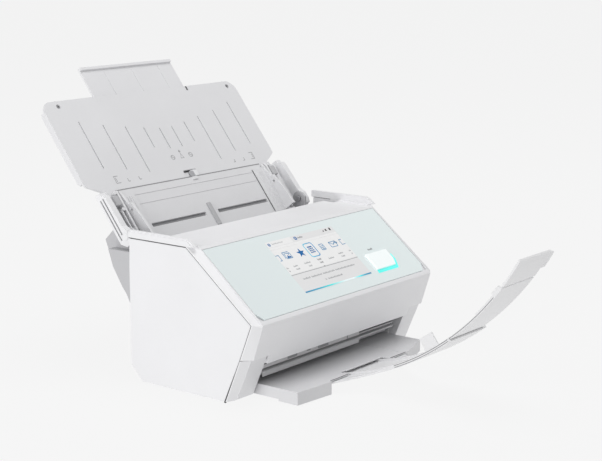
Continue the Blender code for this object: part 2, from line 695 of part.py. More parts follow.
def make_tray():
    front = [(-TRAY_HALF, -100.3), (-65.0, -104.4), (-65.0, -101.8), (-33.5, -101.8),
             (-33.5, -91.6), (33.5, -91.6), (33.5, -101.8), (66.0, -101.8), (TRAY_HALF, -86.5)]
    plate = slab("stacker_tray", front + [(TRAY_HALF, 6.0), (-TRAY_HALF, 6.0)], 10.6, TRAY_TOP,
                 LIGHT_GREY)
    left = [(-TRAY_HALF, -100.3), (-65.0, -104.4), (-65.0, -77.4), (-TRAY_HALF, -77.4)]
    right = [(66.0, -101.8), (TRAY_HALF, -86.5), (TRAY_HALF, -77.4), (66.0, -77.4)]
    pieces = [slab("left_block", left, 0.7, 11.2, LIGHT_GREY),
              slab("right_block", right, 0.7, 11.2, LIGHT_GREY)]
    for sign in (-1.0, 1.0):
        x0, x1 = across(sign, 108.5, TRAY_HALF)
        pieces.append(box("runner", (x0, -78.0, 2.6), (x1, 6.0, 11.0), LIGHT_GREY))
    fuse(plate, *pieces)
    dip = box("dip", (-60.0, -95.0, 12.8), (60.0, 20.0, 20.4), WHITE)
    mouth = box("mouth", (-64.6, -110.0, 5.0), (64.6, -86.0, 11.8), WHITE)
    slot = box("slot", (-34.0, -110.0, 5.0), (34.0, -74.0, 12.1), WHITE)
    return carve(plate, dip, mouth, slot)


def arm_plate(name, start, end, outer, inner, width, look, steps=12):
    """Curved plate about ARM_AXIS whose half width is a function of its angle."""
    rings = []
    for i in range(steps + 1):
        turn = radians(start + (end - start) * i / steps)
        half = width(start + (end - start) * i / steps)
        low = (ARM_AXIS[0] - outer * sin(turn), ARM_AXIS[1] - outer * cos(turn))
        high = (ARM_AXIS[0] - inner * sin(turn), ARM_AXIS[1] - inner * cos(turn))
        rings.append([(-half, *low), (half, *low), (half, *high), (-half, *high)])
    return loft(name, rings, look)


def arm_strip(name, start, end, outer, inner, x0, x1, look, steps=12):
    turns = (radians(start), radians(end))
    outline = arc(ARM_AXIS, outer, *turns, steps) + arc(ARM_AXIS, inner, *turns, steps)[::-1]
    return prism(name, outline, x0, x1, look)


def root_width(turn):
    """Wide where the arm leaves the tray, narrowing in a curve to the rails."""
    blend = min(max((turn - 12.8) / 11.0, 0.0), 1.0)
    return 62.0 + (ARM_HALF - 62.0) * sin(blend * pi / 2)


def make_arm():
    plate = arm_plate("stacker_arm", 10.4, 38.3, ARM_OUTER, ARM_FLOOR, root_width, LIGHT_GREY, 20)
    pieces = []
    for sign in (-1.0, 1.0):
        x0, x1 = across(sign, 28.6, ARM_HALF)
        pieces.append(arm_strip("rail", 10.4, 38.3, ARM_OUTER - 0.2, EXT_INNER, x0, x1, WHITE, 16))
    cheek = arm_strip("cheek", 32.2, 35.6, EXT_INNER + 1.0, 266.5, -30.6, -28.9, WHITE, 2)
    return fuse(plate, *pieces, cheek)


def make_arm_extension():
    plate = arm_plate("arm_extension", 26.0, 54.0, EXT_OUTER, EXT_INNER, lambda t: EXT_HALF,
                      LIGHT_GREY, 16)
    block = arm_strip("end_block", 51.6, 53.6, EXT_INNER + 0.6, 276.4, -EXT_HALF, -24.0, WHITE, 2)
    ridge = arm_strip("ridge", 46.0, 52.0, EXT_INNER + 0.6, 278.2, -EXT_HALF, -26.4, WHITE, 8)
    return fuse(plate, block, ridge)


def make_end_flap():
    plate = arm_plate("end_flap", 54.4, 60.6, EXT_OUTER, EXT_INNER, lambda t: 28.0, LIGHT_GREY, 4)
    ear = arm_strip("ear", 56.4, 60.0, EXT_OUTER, EXT_INNER, 27.5, 36.0, LIGHT_GREY, 3)
    return fuse(plate, ear)


# ------------------------------------------------------------------- assembly

def pivot(name, point):
    empty = bpy.data.objects.new(name, None)
    empty.location = Vector(point) * MM
    scene_collection.objects.link(empty)
    return empty


def hang(parent, *children):
    """Parent the pieces to a pivot and keep them where they are."""
    bpy.context.view_layer.update()
    for child in children:
        child.parent = parent
        child.matrix_parent_inverse = parent.matrix_world.inverted()


def build_body():
    make_base_casing()
    both_sides(make_side_cover)
    make_rear_cover()
    make_rear_hood()
    both_sides(make_side_frame)
    both_sides(make_hinge_pin)
    make_lower_guide()
    make_rear_scan_unit()
    make_main_board()
    make_motor()
    box("base_plate", (-112.8, -36.0, 0.7), (112.8, 63.8, 1.9), STEEL)
    for name, x, y in (("front_left", -129.0, -24.0), ("front_right", 129.0, -24.0),
                       ("rear_left", -129.0, 52.0), ("rear_right", 129.0, 52.0)):
        make_foot(name + "_foot", x, y)


def build_drive():
    shafts = make_shafts()
    tyres = {name: [] for name in shafts}
    for side, sign in (("left", -1.0), ("right", 1.0)):
        x0, x1 = across(sign, 15.0, 39.0)
        tyres["pick_shaft"].append(make_tyre(side + "_pick_tyre", PICK, SHAFT_R, PICK_R, x0, x1))
        tyres["feed_shaft"].append(make_tyre(side + "_feed_tyre", FEED, SHAFT_R, FEED_R, x0, x1))
        x0, x1 = across(sign, 66.0, 78.0)
        tyres["exit_shaft"].append(
            make_tyre(side + "_exit_tyre", EXIT, EXIT_SHAFT_R, EXIT_R, x0, x1))
    for name, centre, shaft_radius, radius, x0 in (
            ("motor", MOTOR, MOTOR_SHAFT_R, 6.0, -134.4), ("feed", FEED, SHAFT_R, 9.0, -134.4),
            ("pick", PICK, SHAFT_R, 7.0, -139.4), ("exit", EXIT, EXIT_SHAFT_R, 6.0, -139.4)):
        tyres[name + "_shaft"].append(
            make_pulley(name + "_pulley", centre, shaft_radius, radius, x0, x0 + 4.2))
    for name, centre in (("pick_shaft", PICK), ("feed_shaft", FEED), ("exit_shaft", EXIT),
                         ("motor_shaft", MOTOR)):
        hang(pivot(name + "_axis", (0.0, *centre)), shafts[name], *tyres[name])
    make_belt("main_belt", MOTOR, 6.0, FEED, 9.0, -133.3, -131.3)


def build_cover():
    parts = [make_front_cover(), make_touch_glass(), make_upper_guide()]
    parts.extend(make_front_scan_unit())
    parts.append(slope_plate("lcd_panel", rectangle(56.6, 12.6, 82.6), -5.0, -GLASS_THICK - GAP, DARK))
    axis = pivot("cover_axis", (0.0, *COVER_HINGE))
    hang(axis, *parts)
    button_axis = pivot("button_axis", (82.0, GLASS_FOOT.y, GLASS_FOOT.z))
    hang(button_axis, make_button())
    for name, centre, radius, bore in (("brake_roller", BRAKE, BRAKE_R, 3.0),
                                       ("exit_idler", IDLER, IDLER_R, 2.2)):
        spans = [(-112.0, bore), (-40.0, bore), (-39.99, radius), (-15.0, radius), (-14.99, bore),
                 (14.99, bore), (15.0, radius), (39.99, radius), (40.0, bore), (112.0, bore)]
        if name == "exit_idler":
            spans = [(-112.0, bore)]
            for middle in (-72.0, -28.0, 28.0, 72.0):
                spans += [(middle - 6.01, bore), (middle - 6.0, radius), (middle + 6.0, radius),
                          (middle + 6.01, bore)]
            spans.append((112.0, bore))
        hang(pivot(name + "_axis", (0.0, *centre)), turned(name, centre, spans, MID_GREY, 20))


def build_chute():
    lid = [make_hopper_bed()]
    lid += both_sides(make_chute_arm) + both_sides(make_slide_rail) + [make_panel_latch()]
    axis = pivot("chute_axis", (0.0, *CHUTE_HINGE))
    hang(axis, *lid)
    slide = pivot("panel_slide", (0.0, *feed(PANEL_LOW)))
    hang(slide, make_chute_panel())
    hang(pivot("extension_slide", (0.0, *feed(EXTENSION_HIGH))), make_extension())
    for side, sign in (("left", -1.0), ("right", 1.0)):
        hang(pivot(side + "_guide_slide", (sign * 111.0, *feed(0.0))), make_side_guide(side, sign))


def build_stacker():
    hang(pivot("tray_slide", (0.0, -100.0, 2.0)), make_tray())
    hang(pivot("arm_axis", (0.0, *ARM_AXIS)), make_arm())
    hang(pivot("arm_extension_axis", (0.0, *ARM_AXIS)), make_arm_extension())
    flap_turn = radians(54.2)
    flap_axis = (ARM_AXIS[0] - 280.7 * sin(flap_turn), ARM_AXIS[1] - 280.7 * cos(flap_turn))
    hang(pivot("end_flap_axis", (0.0, *flap_axis)), make_end_flap())


build_body()
build_drive()
build_cover()
build_chute()
build_stacker()
for ob in bpy.data.objects:
    if ob.type == "MESH":
        ob.data.shade_smooth()
        ob.data.set_sharp_from_angle(angle=radians(35.0))
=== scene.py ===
"""Looks for the sheet fed document scanner: materials, screen contents, surface detail and light.

Lengths are in millimetres until they are handed to Blender. Three working planes carry most
pieces: the glass (x, distance up the slope, height above it), the chute (x, distance up the
chute, height above the bed) and the stacker's arc (x, angle from straight down, radius).
"""

import json
from math import cos, pi, radians, sin

import bmesh
import bpy
from mathutils import Matrix, Vector

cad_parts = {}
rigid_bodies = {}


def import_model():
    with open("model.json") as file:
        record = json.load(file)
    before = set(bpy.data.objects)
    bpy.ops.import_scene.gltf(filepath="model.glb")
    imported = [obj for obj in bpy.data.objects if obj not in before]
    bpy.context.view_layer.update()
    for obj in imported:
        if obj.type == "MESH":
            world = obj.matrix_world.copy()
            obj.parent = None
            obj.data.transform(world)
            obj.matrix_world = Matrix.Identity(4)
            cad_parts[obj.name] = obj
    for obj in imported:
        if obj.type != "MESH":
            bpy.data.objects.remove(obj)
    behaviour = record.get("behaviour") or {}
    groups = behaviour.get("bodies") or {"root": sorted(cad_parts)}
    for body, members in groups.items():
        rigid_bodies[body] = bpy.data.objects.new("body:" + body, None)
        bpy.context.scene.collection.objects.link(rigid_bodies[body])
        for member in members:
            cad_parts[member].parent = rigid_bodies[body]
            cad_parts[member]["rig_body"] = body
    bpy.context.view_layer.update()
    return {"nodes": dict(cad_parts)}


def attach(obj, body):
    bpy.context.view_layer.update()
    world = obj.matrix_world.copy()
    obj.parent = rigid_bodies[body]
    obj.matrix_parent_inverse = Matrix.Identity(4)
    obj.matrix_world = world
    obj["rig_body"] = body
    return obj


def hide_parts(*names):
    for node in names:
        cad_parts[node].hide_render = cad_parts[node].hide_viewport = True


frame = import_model()

MM = 0.001
NODES = frame["nodes"]

# Working planes, the same as in the CAD source
GLASS_FOOT = Vector((0.0, -77.0, 82.8))
GLASS_HEAD = Vector((0.0, -6.7, 140.4))
FEED_ANGLE = radians(52.0)
FEED_ORIGIN = (103.0, 145.7)
ARM_AXIS = (-38.0, 286.0)

# Names and signs of x for what stands on both sides
SIDES = (("left", -1.0), ("right", 1.0))


# ------------------------------------------------------------------ materials

def new_material(name):
    """Material with nodes, its node tree and its shader."""
    material = bpy.data.materials.new(name)
    material.use_nodes = True
    tree = material.node_tree
    shader = tree.nodes["Principled BSDF"]
    return material, tree, shader


def noise(tree, coordinates, scale, detail=3.0, roughness=0.5):
    """Noise texture over the given coordinates."""
    node = tree.nodes.new("ShaderNodeTexNoise")
    node.inputs["Scale"].default_value = scale
    node.inputs["Detail"].default_value = detail
    node.inputs["Roughness"].default_value = roughness
    tree.links.new(coordinates, node.inputs["Vector"])
    return node


def ramp(tree, factor, stops):
    """Colour ramp through (position, colour) stops."""
    node = tree.nodes.new("ShaderNodeValToRGB")
    elements = node.color_ramp.elements
    while len(elements) < len(stops):
        elements.new(0.5)
    for element, (position, colour) in zip(elements, stops):
        element.position = position
        element.color = (*colour, 1.0)
    tree.links.new(factor, node.inputs["Fac"])
    return node


def scaled(colour, gain):
    """Colour times a gain, kept within range."""
    return tuple(min(c * gain, 1.0) for c in colour)


def plastic(name, colour, rough=0.42, grain=0.00004, grain_scale=2600.0, cloud=0.02,
            coat=0.0):
    """Moulded plastic: spark-eroded grain, faint flow marks in colour and in gloss."""
    material, tree, shader = new_material(name)
    coords = tree.nodes.new("ShaderNodeTexCoord").outputs["Object"]
    flow = noise(tree, coords, 16.0, 4.0, 0.55)
    tint = ramp(tree, flow.outputs["Fac"], [(0.3, scaled(colour, 1.0 - cloud)),
                                            (0.7, scaled(colour, 1.0 + cloud * 0.5))])
    speck = noise(tree, coords, grain_scale, 2.0, 0.6)
    gloss = tree.nodes.new("ShaderNodeMapRange")
    gloss.inputs["To Min"].default_value = rough - 0.05
    gloss.inputs["To Max"].default_value = rough + 0.07
    patches = noise(tree, coords, 210.0, 3.0, 0.6)
    tree.links.new(patches.outputs["Fac"], gloss.inputs["Value"])
    bump = tree.nodes.new("ShaderNodeBump")
    bump.inputs["Strength"].default_value = 0.35
    bump.inputs["Distance"].default_value = grain
    tree.links.new(speck.outputs["Fac"], bump.inputs["Height"])
    tree.links.new(tint.outputs["Color"], shader.inputs["Base Color"])
    tree.links.new(gloss.outputs["Result"], shader.inputs["Roughness"])
    tree.links.new(bump.outputs["Normal"], shader.inputs["Normal"])
    shader.inputs["Specular IOR Level"].default_value = 0.42
    shader.inputs["Coat Weight"].default_value = coat
    shader.inputs["Coat Roughness"].default_value = 0.08
    return material


def metal(name, colour, rough=0.28, streak_axis=0, streak=900.0):
    """Rolled or turned steel with fine lines along one axis."""
    material, tree, shader = new_material(name)
    coords = tree.nodes.new("ShaderNodeTexCoord").outputs["Object"]
    stretch = tree.nodes.new("ShaderNodeMapping")
    scale = [streak, streak, streak]
    scale[streak_axis] = streak * 0.02
    stretch.inputs["Scale"].default_value = scale
    tree.links.new(coords, stretch.inputs["Vector"])
    lines = noise(tree, stretch.outputs["Vector"], 1.0, 3.0, 0.6)
    tint = ramp(tree, lines.outputs["Fac"], [(0.3, scaled(colour, 0.86)), (0.7, colour)])
    gloss = tree.nodes.new("ShaderNodeMapRange")
    gloss.inputs["To Min"].default_value = rough - 0.06
    gloss.inputs["To Max"].default_value = rough + 0.12
    tree.links.new(lines.outputs["Fac"], gloss.inputs["Value"])
    bump = tree.nodes.new("ShaderNodeBump")
    bump.inputs["Strength"].default_value = 0.3
    bump.inputs["Distance"].default_value = 0.00002
    tree.links.new(lines.outputs["Fac"], bump.inputs["Height"])
    tree.links.new(tint.outputs["Color"], shader.inputs["Base Color"])
    tree.links.new(gloss.outputs["Result"], shader.inputs["Roughness"])
    tree.links.new(bump.outputs["Normal"], shader.inputs["Normal"])
    shader.inputs["Metallic"].default_value = 1.0
    return material


def rubber(name, colour, rough=0.8):
    """Ground rubber with a coarse, dusty tooth."""
    material, tree, shader = new_material(name)
    coords = tree.nodes.new("ShaderNodeTexCoord").outputs["Object"]
    dust = noise(tree, coords, 160.0, 5.0, 0.65)
    tint = ramp(tree, dust.outputs["Fac"], [(0.35, colour), (0.75, scaled(colour, 1.5))])
    tooth = noise(tree, coords, 1500.0, 2.0, 0.7)
    bump = tree.nodes.new("ShaderNodeBump")
    bump.inputs["Strength"].default_value = 0.6
    bump.inputs["Distance"].default_value = 0.0001
    tree.links.new(tooth.outputs["Fac"], bump.inputs["Height"])
    tree.links.new(tint.outputs["Color"], shader.inputs["Base Color"])
    tree.links.new(bump.outputs["Normal"], shader.inputs["Normal"])
    shader.inputs["Roughness"].default_value = rough
    shader.inputs["Specular IOR Level"].default_value = 0.3
    return material


def panel_glass(name):
    """Glass over a pale back print that deepens slightly towards one end."""
    material, tree, shader = new_material(name)
    coords = tree.nodes.new("ShaderNodeTexCoord").outputs["Object"]
    split = tree.nodes.new("ShaderNodeSeparateXYZ")
    tree.links.new(coords, split.inputs["Vector"])
    across = tree.nodes.new("ShaderNodeMapRange")
    across.inputs["From Min"].default_value = -0.14
    across.inputs["From Max"].default_value = 0.14
    tree.links.new(split.outputs["X"], across.inputs["Value"])
    print_tint = ramp(tree, across.outputs["Result"],
                      [(0.0, (0.81, 0.88, 0.885)), (1.0, (0.86, 0.94, 0.94))])
    smear = noise(tree, coords, 40.0, 4.0, 0.6)
    gloss = tree.nodes.new("ShaderNodeMapRange")
    gloss.inputs["To Min"].default_value = 0.05
    gloss.inputs["To Max"].default_value = 0.13
    tree.links.new(smear.outputs["Fac"], gloss.inputs["Value"])
    tree.links.new(print_tint.outputs["Color"], shader.inputs["Base Color"])
    tree.links.new(gloss.outputs["Result"], shader.inputs["Roughness"])
    shader.inputs["Specular IOR Level"].default_value = 0.5
    return material


def clear_glass(name):
    """Clear glass with a little dust in its gloss."""
    material, tree, shader = new_material(name)
    coords = tree.nodes.new("ShaderNodeTexCoord").outputs["Object"]
    dust = noise(tree, coords, 300.0, 4.0, 0.7)
    gloss = tree.nodes.new("ShaderNodeMapRange")
    gloss.inputs["To Min"].default_value = 0.02
    gloss.inputs["To Max"].default_value = 0.1
    tree.links.new(dust.outputs["Fac"], gloss.inputs["Value"])
    tree.links.new(gloss.outputs["Result"], shader.inputs["Roughness"])
    shader.inputs["Base Color"].default_value = (0.85, 0.93, 0.92, 1.0)
    shader.inputs["Transmission Weight"].default_value = 0.8
    shader.inputs["IOR"].default_value = 1.5
    return material


def ink(name, colour, rough=0.3, mottle=0.06):
    """Printed or displayed colour, with a trace of unevenness."""
    material, tree, shader = new_material(name)
    coords = tree.nodes.new("ShaderNodeTexCoord").outputs["Object"]
    dots = noise(tree, coords, 900.0, 2.0, 0.5)
    tint = ramp(tree, dots.outputs["Fac"], [(0.35, scaled(colour, 1.0 - mottle)), (0.65, colour)])
    tree.links.new(tint.outputs["Color"], shader.inputs["Base Color"])
    shader.inputs["Roughness"].default_value = rough
    return material


def glow(name, stops, low_x, high_x, strength):
    """Lit strip whose colour runs along X."""
    material, tree, shader = new_material(name)
    coords = tree.nodes.new("ShaderNodeTexCoord").outputs["Object"]
    split = tree.nodes.new("ShaderNodeSeparateXYZ")
    tree.links.new(coords, split.inputs["Vector"])
    across = tree.nodes.new("ShaderNodeMapRange")
    across.inputs["From Min"].default_value = low_x * MM
    across.inputs["From Max"].default_value = high_x * MM
    tree.links.new(split.outputs["X"], across.inputs["Value"])
    tint = ramp(tree, across.outputs["Result"], stops)
    tree.links.new(tint.outputs["Color"], shader.inputs["Base Color"])
    tree.links.new(tint.outputs["Color"], shader.inputs["Emission Color"])
    shader.inputs["Emission Strength"].default_value = strength
    shader.inputs["Roughness"].default_value = 0.25
    return material


SHELL = plastic("shell_white", (0.83, 0.83, 0.845), 0.4)
PANEL = plastic("panel_grey", (0.76, 0.76, 0.775), 0.5, grain_scale=2000.0)
CASING = plastic("casing_white", (0.78, 0.78, 0.795), 0.46)
# The tray's grey is partly its own tone and partly darkened as painted shade
TRAY_SHADE_GREY = plastic("tray_painted_shade_grey", (0.69, 0.69, 0.705), 0.46)
ARM_WHITE = plastic("stacker_white", (0.80, 0.80, 0.81), 0.46)
INNER = plastic("inner_grey", (0.46, 0.46, 0.475), 0.5)
SMOOTH_GREY = plastic("roller_grey", (0.42, 0.42, 0.44), 0.35, grain_scale=900.0)
# Dark grey of painted shade for slots, channels, recesses, openings and shade lines
SHADE = plastic("painted_recess_shade", (0.30, 0.30, 0.31), 0.6)
# Grey darkened as painted shade, for the rear hood, which lies in shade, and reused on other parts
HOOD_SHADE_GREY = plastic("hood_painted_shade_grey", (0.52, 0.52, 0.535), 0.5)
BLACK = plastic("black_plastic", (0.025, 0.025, 0.028), 0.5)
PATH_GREY = plastic("path_grey", (0.62, 0.62, 0.63), 0.45)
GAP_DARK = plastic("gap_shadow", (0.05, 0.05, 0.053), 0.7)
BUTTON = plastic("button_white", (0.88, 0.92, 0.92), 0.22, coat=0.6)

# The button is lit faintly from within
button_shader = BUTTON.node_tree.nodes["Principled BSDF"]
button_shader.inputs["Emission Color"].default_value = (0.92, 1.0, 1.0, 1.0)
button_shader.inputs["Emission Strength"].default_value = 0.2

STEEL = metal("steel", (0.62, 0.62, 0.64))
PLATE_STEEL = metal("zinc_plate", (0.55, 0.56, 0.58), 0.36, 1, 500.0)
CONTACT = metal("connector_steel", (0.66, 0.66, 0.66), 0.24, 1, 1400.0)
RUBBER = rubber("feed_rubber", (0.035, 0.035, 0.038))
FOOT_RUBBER = rubber("foot_rubber", (0.05, 0.05, 0.052), 0.85)
GLASS = panel_glass("front_glass")
SCAN_GLASS = clear_glass("scan_glass")
BOARD = plastic("solder_mask", (0.02, 0.11, 0.05), 0.35, grain_scale=700.0, cloud=0.15)
DISPLAY = plastic("display_black", (0.015, 0.016, 0.02), 0.2, grain=0.00001)

# What the screen shows and what is printed on the lid
SCREEN = ink("screen_grey", (0.86, 0.86, 0.865), 0.12, 0.01)
SCREEN_PALE = ink("screen_white", (0.95, 0.95, 0.95), 0.12, 0.01)
TEXT = ink("screen_text", (0.33, 0.34, 0.35), 0.2)
TEXT_SOFT = ink("screen_text_soft", (0.44, 0.45, 0.46), 0.2)
BLUE = ink("screen_blue", (0.012, 0.16, 0.44), 0.2)
BLUE_SOFT = ink("screen_blue_soft", (0.10, 0.31, 0.56), 0.2)
HIGHLIGHT = glow("screen_cyan", [(0.0, (0.10, 0.55, 0.75)), (1.0, (0.02, 0.25, 0.55))],
                 -8.0, 6.0, 0.1)
PRINT = ink("panel_print", (0.36, 0.36, 0.37), 0.5)
BAR = glow("screen_bar", [(0.0, (0.06, 0.28, 0.48)), (0.2, (0.08, 0.42, 0.60)),
                          (0.38, (0.10, 0.80, 0.78)), (0.6, (0.86, 0.97, 0.98)),
                          (0.72, (0.90, 0.98, 1.0)), (0.82, (0.15, 0.88, 0.90)),
                          (0.9, (0.07, 0.40, 0.58)), (1.0, (0.05, 0.24, 0.42))],
           -55.0, 53.0, 0.14)
AQUA = glow("button_light", [(0.0, (0.10, 0.74, 0.68)), (1.0, (0.13, 0.82, 0.76))],
            62.0, 102.0, 0.42)


# ------------------------------------------------------------- working planes

def on_glass(x, along, off):
    """Point on the sloping glass."""
    up = (GLASS_HEAD - GLASS_FOOT).normalized()
    out = Vector((0.0, -up.z, up.y))
    return (Vector((x, GLASS_FOOT.y, GLASS_FOOT.z)) + up * along + out * off) * MM


def on_chute(x, along, off):
    """Point on the chute: along it from its foot, and off its bed."""
    y = FEED_ORIGIN[0] + along * cos(FEED_ANGLE) - off * sin(FEED_ANGLE)
    z = FEED_ORIGIN[1] + along * sin(FEED_ANGLE) + off * cos(FEED_ANGLE)
    return Vector((x, y, z)) * MM


def on_arc(x, degrees, radius):
    """Point on the stacker's arc."""
    turn = radians(degrees)
    return Vector((x, ARM_AXIS[0] - radius * sin(turn), ARM_AXIS[1] - radius * cos(turn))) * MM


def across_arc(degrees, radius, x):
    """The same point, for outlines that are pushed out along X."""
    return on_arc(x, degrees, radius)


def on_arm(along, off, x):
    """Point on the chute, for outlines that are pushed out along X."""
    return on_chute(x, along, off)


def on_level(x, y, z):
    return Vector((x, y, z)) * MM


def on_side(y, z, x):
    return Vector((x, y, z)) * MM


def on_back(x, z, y):
    return Vector((x, y, z)) * MM


# --------------------------------------------------------------- mesh helpers

BEVEL_ANGLE = radians(24.0)    # sharper edges than this are rounded
FLAT_ANGLE = radians(0.6)      # faces closer to level than this are merged first


def finish_piece(name, bm, material, body, bevel=0.0):
    """Turn a bmesh into a piece that rides a body."""
    bmesh.ops.remove_doubles(bm, verts=bm.verts, dist=1e-7)
    bmesh.ops.recalc_face_normals(bm, faces=bm.faces)
    mesh = bpy.data.meshes.new(name)
    bm.to_mesh(mesh)
    bm.free()
    piece = bpy.data.objects.new(name, mesh)
    bpy.context.scene.collection.objects.link(piece)
    mesh.materials.append(material)
    if bevel:
        soften(piece, bevel)
    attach(piece, body)
    return piece


def soften(piece, width, segments=2):
    """Round the hard edges with modifiers, so that the mesh itself stays as it is."""
    weld = piece.modifiers.new("weld", "WELD")
    weld.merge_threshold = 1e-6
    flat = piece.modifiers.new("flat", "DECIMATE")
    flat.decimate_type = "DISSOLVE"
    flat.angle_limit = FLAT_ANGLE
    bevel = piece.modifiers.new("bevel", "BEVEL")
    bevel.width = width * MM
    bevel.segments = segments
    bevel.limit_method = "ANGLE"
    bevel.angle_limit = BEVEL_ANGLE
    bevel.harden_normals = False
    bevel.use_clamp_overlap = True
    for polygon in piece.data.polygons:
        polygon.use_smooth = True
    normals = piece.modifiers.new("normals", "WEIGHTED_NORMAL")
    normals.keep_sharp = False
    normals.weight = 80


def add_prism(bm, outline, place, low, high):
    """Closed prism over a simple (u, v) outline, between two heights of a plane."""
    loops = []
    for height in (low, high):
        loops.append([bm.verts.new(place(u, v, height)) for u, v in outline])
    count = len(outline)
    for i in range(count):
        j = (i + 1) % count
        bm.faces.new((loops[0][i], loops[0][j], loops[1][j], loops[1][i]))
    bm.faces.new(loops[0])
    bm.faces.new(loops[1])


def add_ring(bm, outer, inner, place, low, high):
    """Closed frame between two outlines of equal length."""
    corners = []
    for height in (low, high):
        corners.append([[bm.verts.new(place(u, v, height)) for u, v in loop]
                        for loop in (outer, inner)])
    count = len(outer)
    for i in range(count):
        j = (i + 1) % count
        for a, b in (((0, 0), (1, 0)), ((1, 0), (1, 1)), ((1, 1), (0, 1)), ((0, 1), (0, 0))):
            first, second = corners[a[0]][a[1]], corners[b[0]][b[1]]
            bm.faces.new((first[i], first[j], second[j], second[i]))


def add_stroke(bm, points, width, place, low, high):
    """Line of even width, one closed prism for each straight run."""
    for a, b in zip(points, points[1:]):
        along = (Vector(b) - Vector(a)).normalized()
        side = Vector((-along.y, along.x)) * (width / 2)
        end = along * (width / 2)
        corners = [Vector(a) - end - side, Vector(b) + end - side,
                   Vector(b) + end + side, Vector(a) - end + side]
        add_prism(bm, [tuple(c) for c in corners], place, low, high)


def rect(u0, v0, u1, v1):
    return [(u0, v0), (u1, v0), (u1, v1), (u0, v1)]


def round_rect(u0, v0, u1, v1, radius, steps=5):
    points = []
    for cu, cv, start in ((u1 - radius, v0 + radius, -90), (u1 - radius, v1 - radius, 0),
                          (u0 + radius, v1 - radius, 90), (u0 + radius, v0 + radius, 180)):
        for i in range(steps + 1):
            turn = radians(start + 90.0 * i / steps)
            points.append((cu + radius * cos(turn), cv + radius * sin(turn)))
    return points


def circle(u, v, radius, steps=20):
    return [(u + radius * cos(2 * pi * i / steps), v + radius * sin(2 * pi * i / steps))
            for i in range(steps)]


def mirrored(sign, near, far):
    """Both x values of a span on the left (-1) or the right (1), in rising order."""
    return sorted((sign * near, sign * far))


def plates(name, outlines, place, low, high, material, body, bevel=0.0):
    """One piece made of flat prisms."""
    bm = bmesh.new()
    for outline in outlines:
        add_prism(bm, outline, place, low, high)
    return finish_piece(name, bm, material, body, bevel)


def chute_plates(name, outlines, low, high, material, body, bevel=0.0):
    return plates(name, outlines, on_chute, low, high, material, body, bevel)


ARC_STEPS = 16


def add_arc_bar(bm, x0, x1, outer, inner, start, end):
    """Closed bar that follows the stacker's arc between two angles."""
    rings = []
    for i in range(ARC_STEPS + 1):
        turn = start + (end - start) * i / ARC_STEPS
        rings.append([bm.verts.new(on_arc(x, turn, radius))
                      for x, radius in ((x0, outer), (x1, outer), (x1, inner), (x0, inner))])
    for low, high in zip(rings, rings[1:]):
        for i in range(4):
            j = (i + 1) % 4
            bm.faces.new((low[i], low[j], high[j], high[i]))
    bm.faces.new(rings[0])
    bm.faces.new(rings[-1])


def arc_piece(name, bars, material, body, bevel=0.0):
    """One piece made of curved bars."""
    bm = bmesh.new()
    for bar in bars:
        add_arc_bar(bm, *bar)
    return finish_piece(name, bm, material, body, bevel)


def cutter(name, outlines, place, low, high):
    """Hidden solid that a Boolean modifier subtracts."""
    bm = bmesh.new()
    for outline in outlines:
        add_prism(bm, outline, place, low, high)
    bmesh.ops.recalc_face_normals(bm, faces=bm.faces)
    mesh = bpy.data.meshes.new(name)
    bm.to_mesh(mesh)
    bm.free()
    tool = bpy.data.objects.new(name, mesh)
    bpy.context.scene.collection.objects.link(tool)
    return tool


# ------------------------------------------------------------ CAD nodes' looks

LOOKS = {
    "left_side_cover": (SHELL, 0.7), "right_side_cover": (SHELL, 0.7),
    "rear_cover": (SHELL, 0.6), "front_cover": (SHELL, 0.9),
    "left_chute_arm": (SHELL, 0.5), "right_chute_arm": (SHELL, 0.5),
    "panel_latch": (SHELL, 0.3), "scan_button": (BUTTON, 0.5),
    "base_casing": (CASING, 0.5), "hopper_bed": (PANEL, 0.3), "chute_panel": (PANEL, 0.7),
    "chute_extension": (PANEL, 0.5), "left_side_guide": (PANEL, 0.35),
    "right_side_guide": (PANEL, 0.35), "stacker_tray": (TRAY_SHADE_GREY, 0.5),
    "stacker_arm": (ARM_WHITE, 0.25), "arm_extension": (ARM_WHITE, 0.25),
    "end_flap": (ARM_WHITE, 0.3),
    "upper_guide": (INNER, 0.3), "lower_guide": (PATH_GREY, 0.3), "rear_hood": (HOOD_SHADE_GREY, 0.8),
    "left_slide_rail": (INNER, 0.3), "right_slide_rail": (INNER, 0.3),
    "touch_glass": (GLASS, 0.25), "lcd_panel": (DISPLAY, 0.2),
    "rear_scan_unit": (BLACK, 0.3), "front_scan_unit": (BLACK, 0.3),
    "rear_scan_glass": (SCAN_GLASS, 0.1), "front_scan_glass": (SCAN_GLASS, 0.1),
    "main_board": (BOARD, 0.1), "usb_socket": (CONTACT, 0.15), "power_socket": (BLACK, 0.2),
    "drive_motor": (PLATE_STEEL, 0.6), "base_plate": (PLATE_STEEL, 0.2),
    "left_frame": (PLATE_STEEL, 0.2), "right_frame": (PLATE_STEEL, 0.2),
    "left_hinge_pin": (STEEL, 0.3), "right_hinge_pin": (STEEL, 0.3),
    "pick_shaft": (STEEL, 0.3), "feed_shaft": (STEEL, 0.3), "exit_shaft": (STEEL, 0.3),
    "motor_shaft": (STEEL, 0.3), "brake_roller": (SMOOTH_GREY, 0.3),
    "exit_idler": (SMOOTH_GREY, 0.3), "main_belt": (RUBBER, 0.1),
}


def look_of(name):
    """Material and edge rounding of a CAD node."""
    if name in LOOKS:
        return LOOKS[name]
    if name.endswith("_tyre"):
        return RUBBER, 0.3
    if name.endswith("_foot"):
        return FOOT_RUBBER, 0.3
    return CASING, 0.2


def bevel_steps(width):
    """Broad roundings get one more step."""
    return 3 if width > 0.4 else 2


for node_name, node in NODES.items():
    material, width = look_of(node_name)
    node.data.materials.clear()
    node.data.materials.append(material)
    soften(node, width, bevel_steps(width))


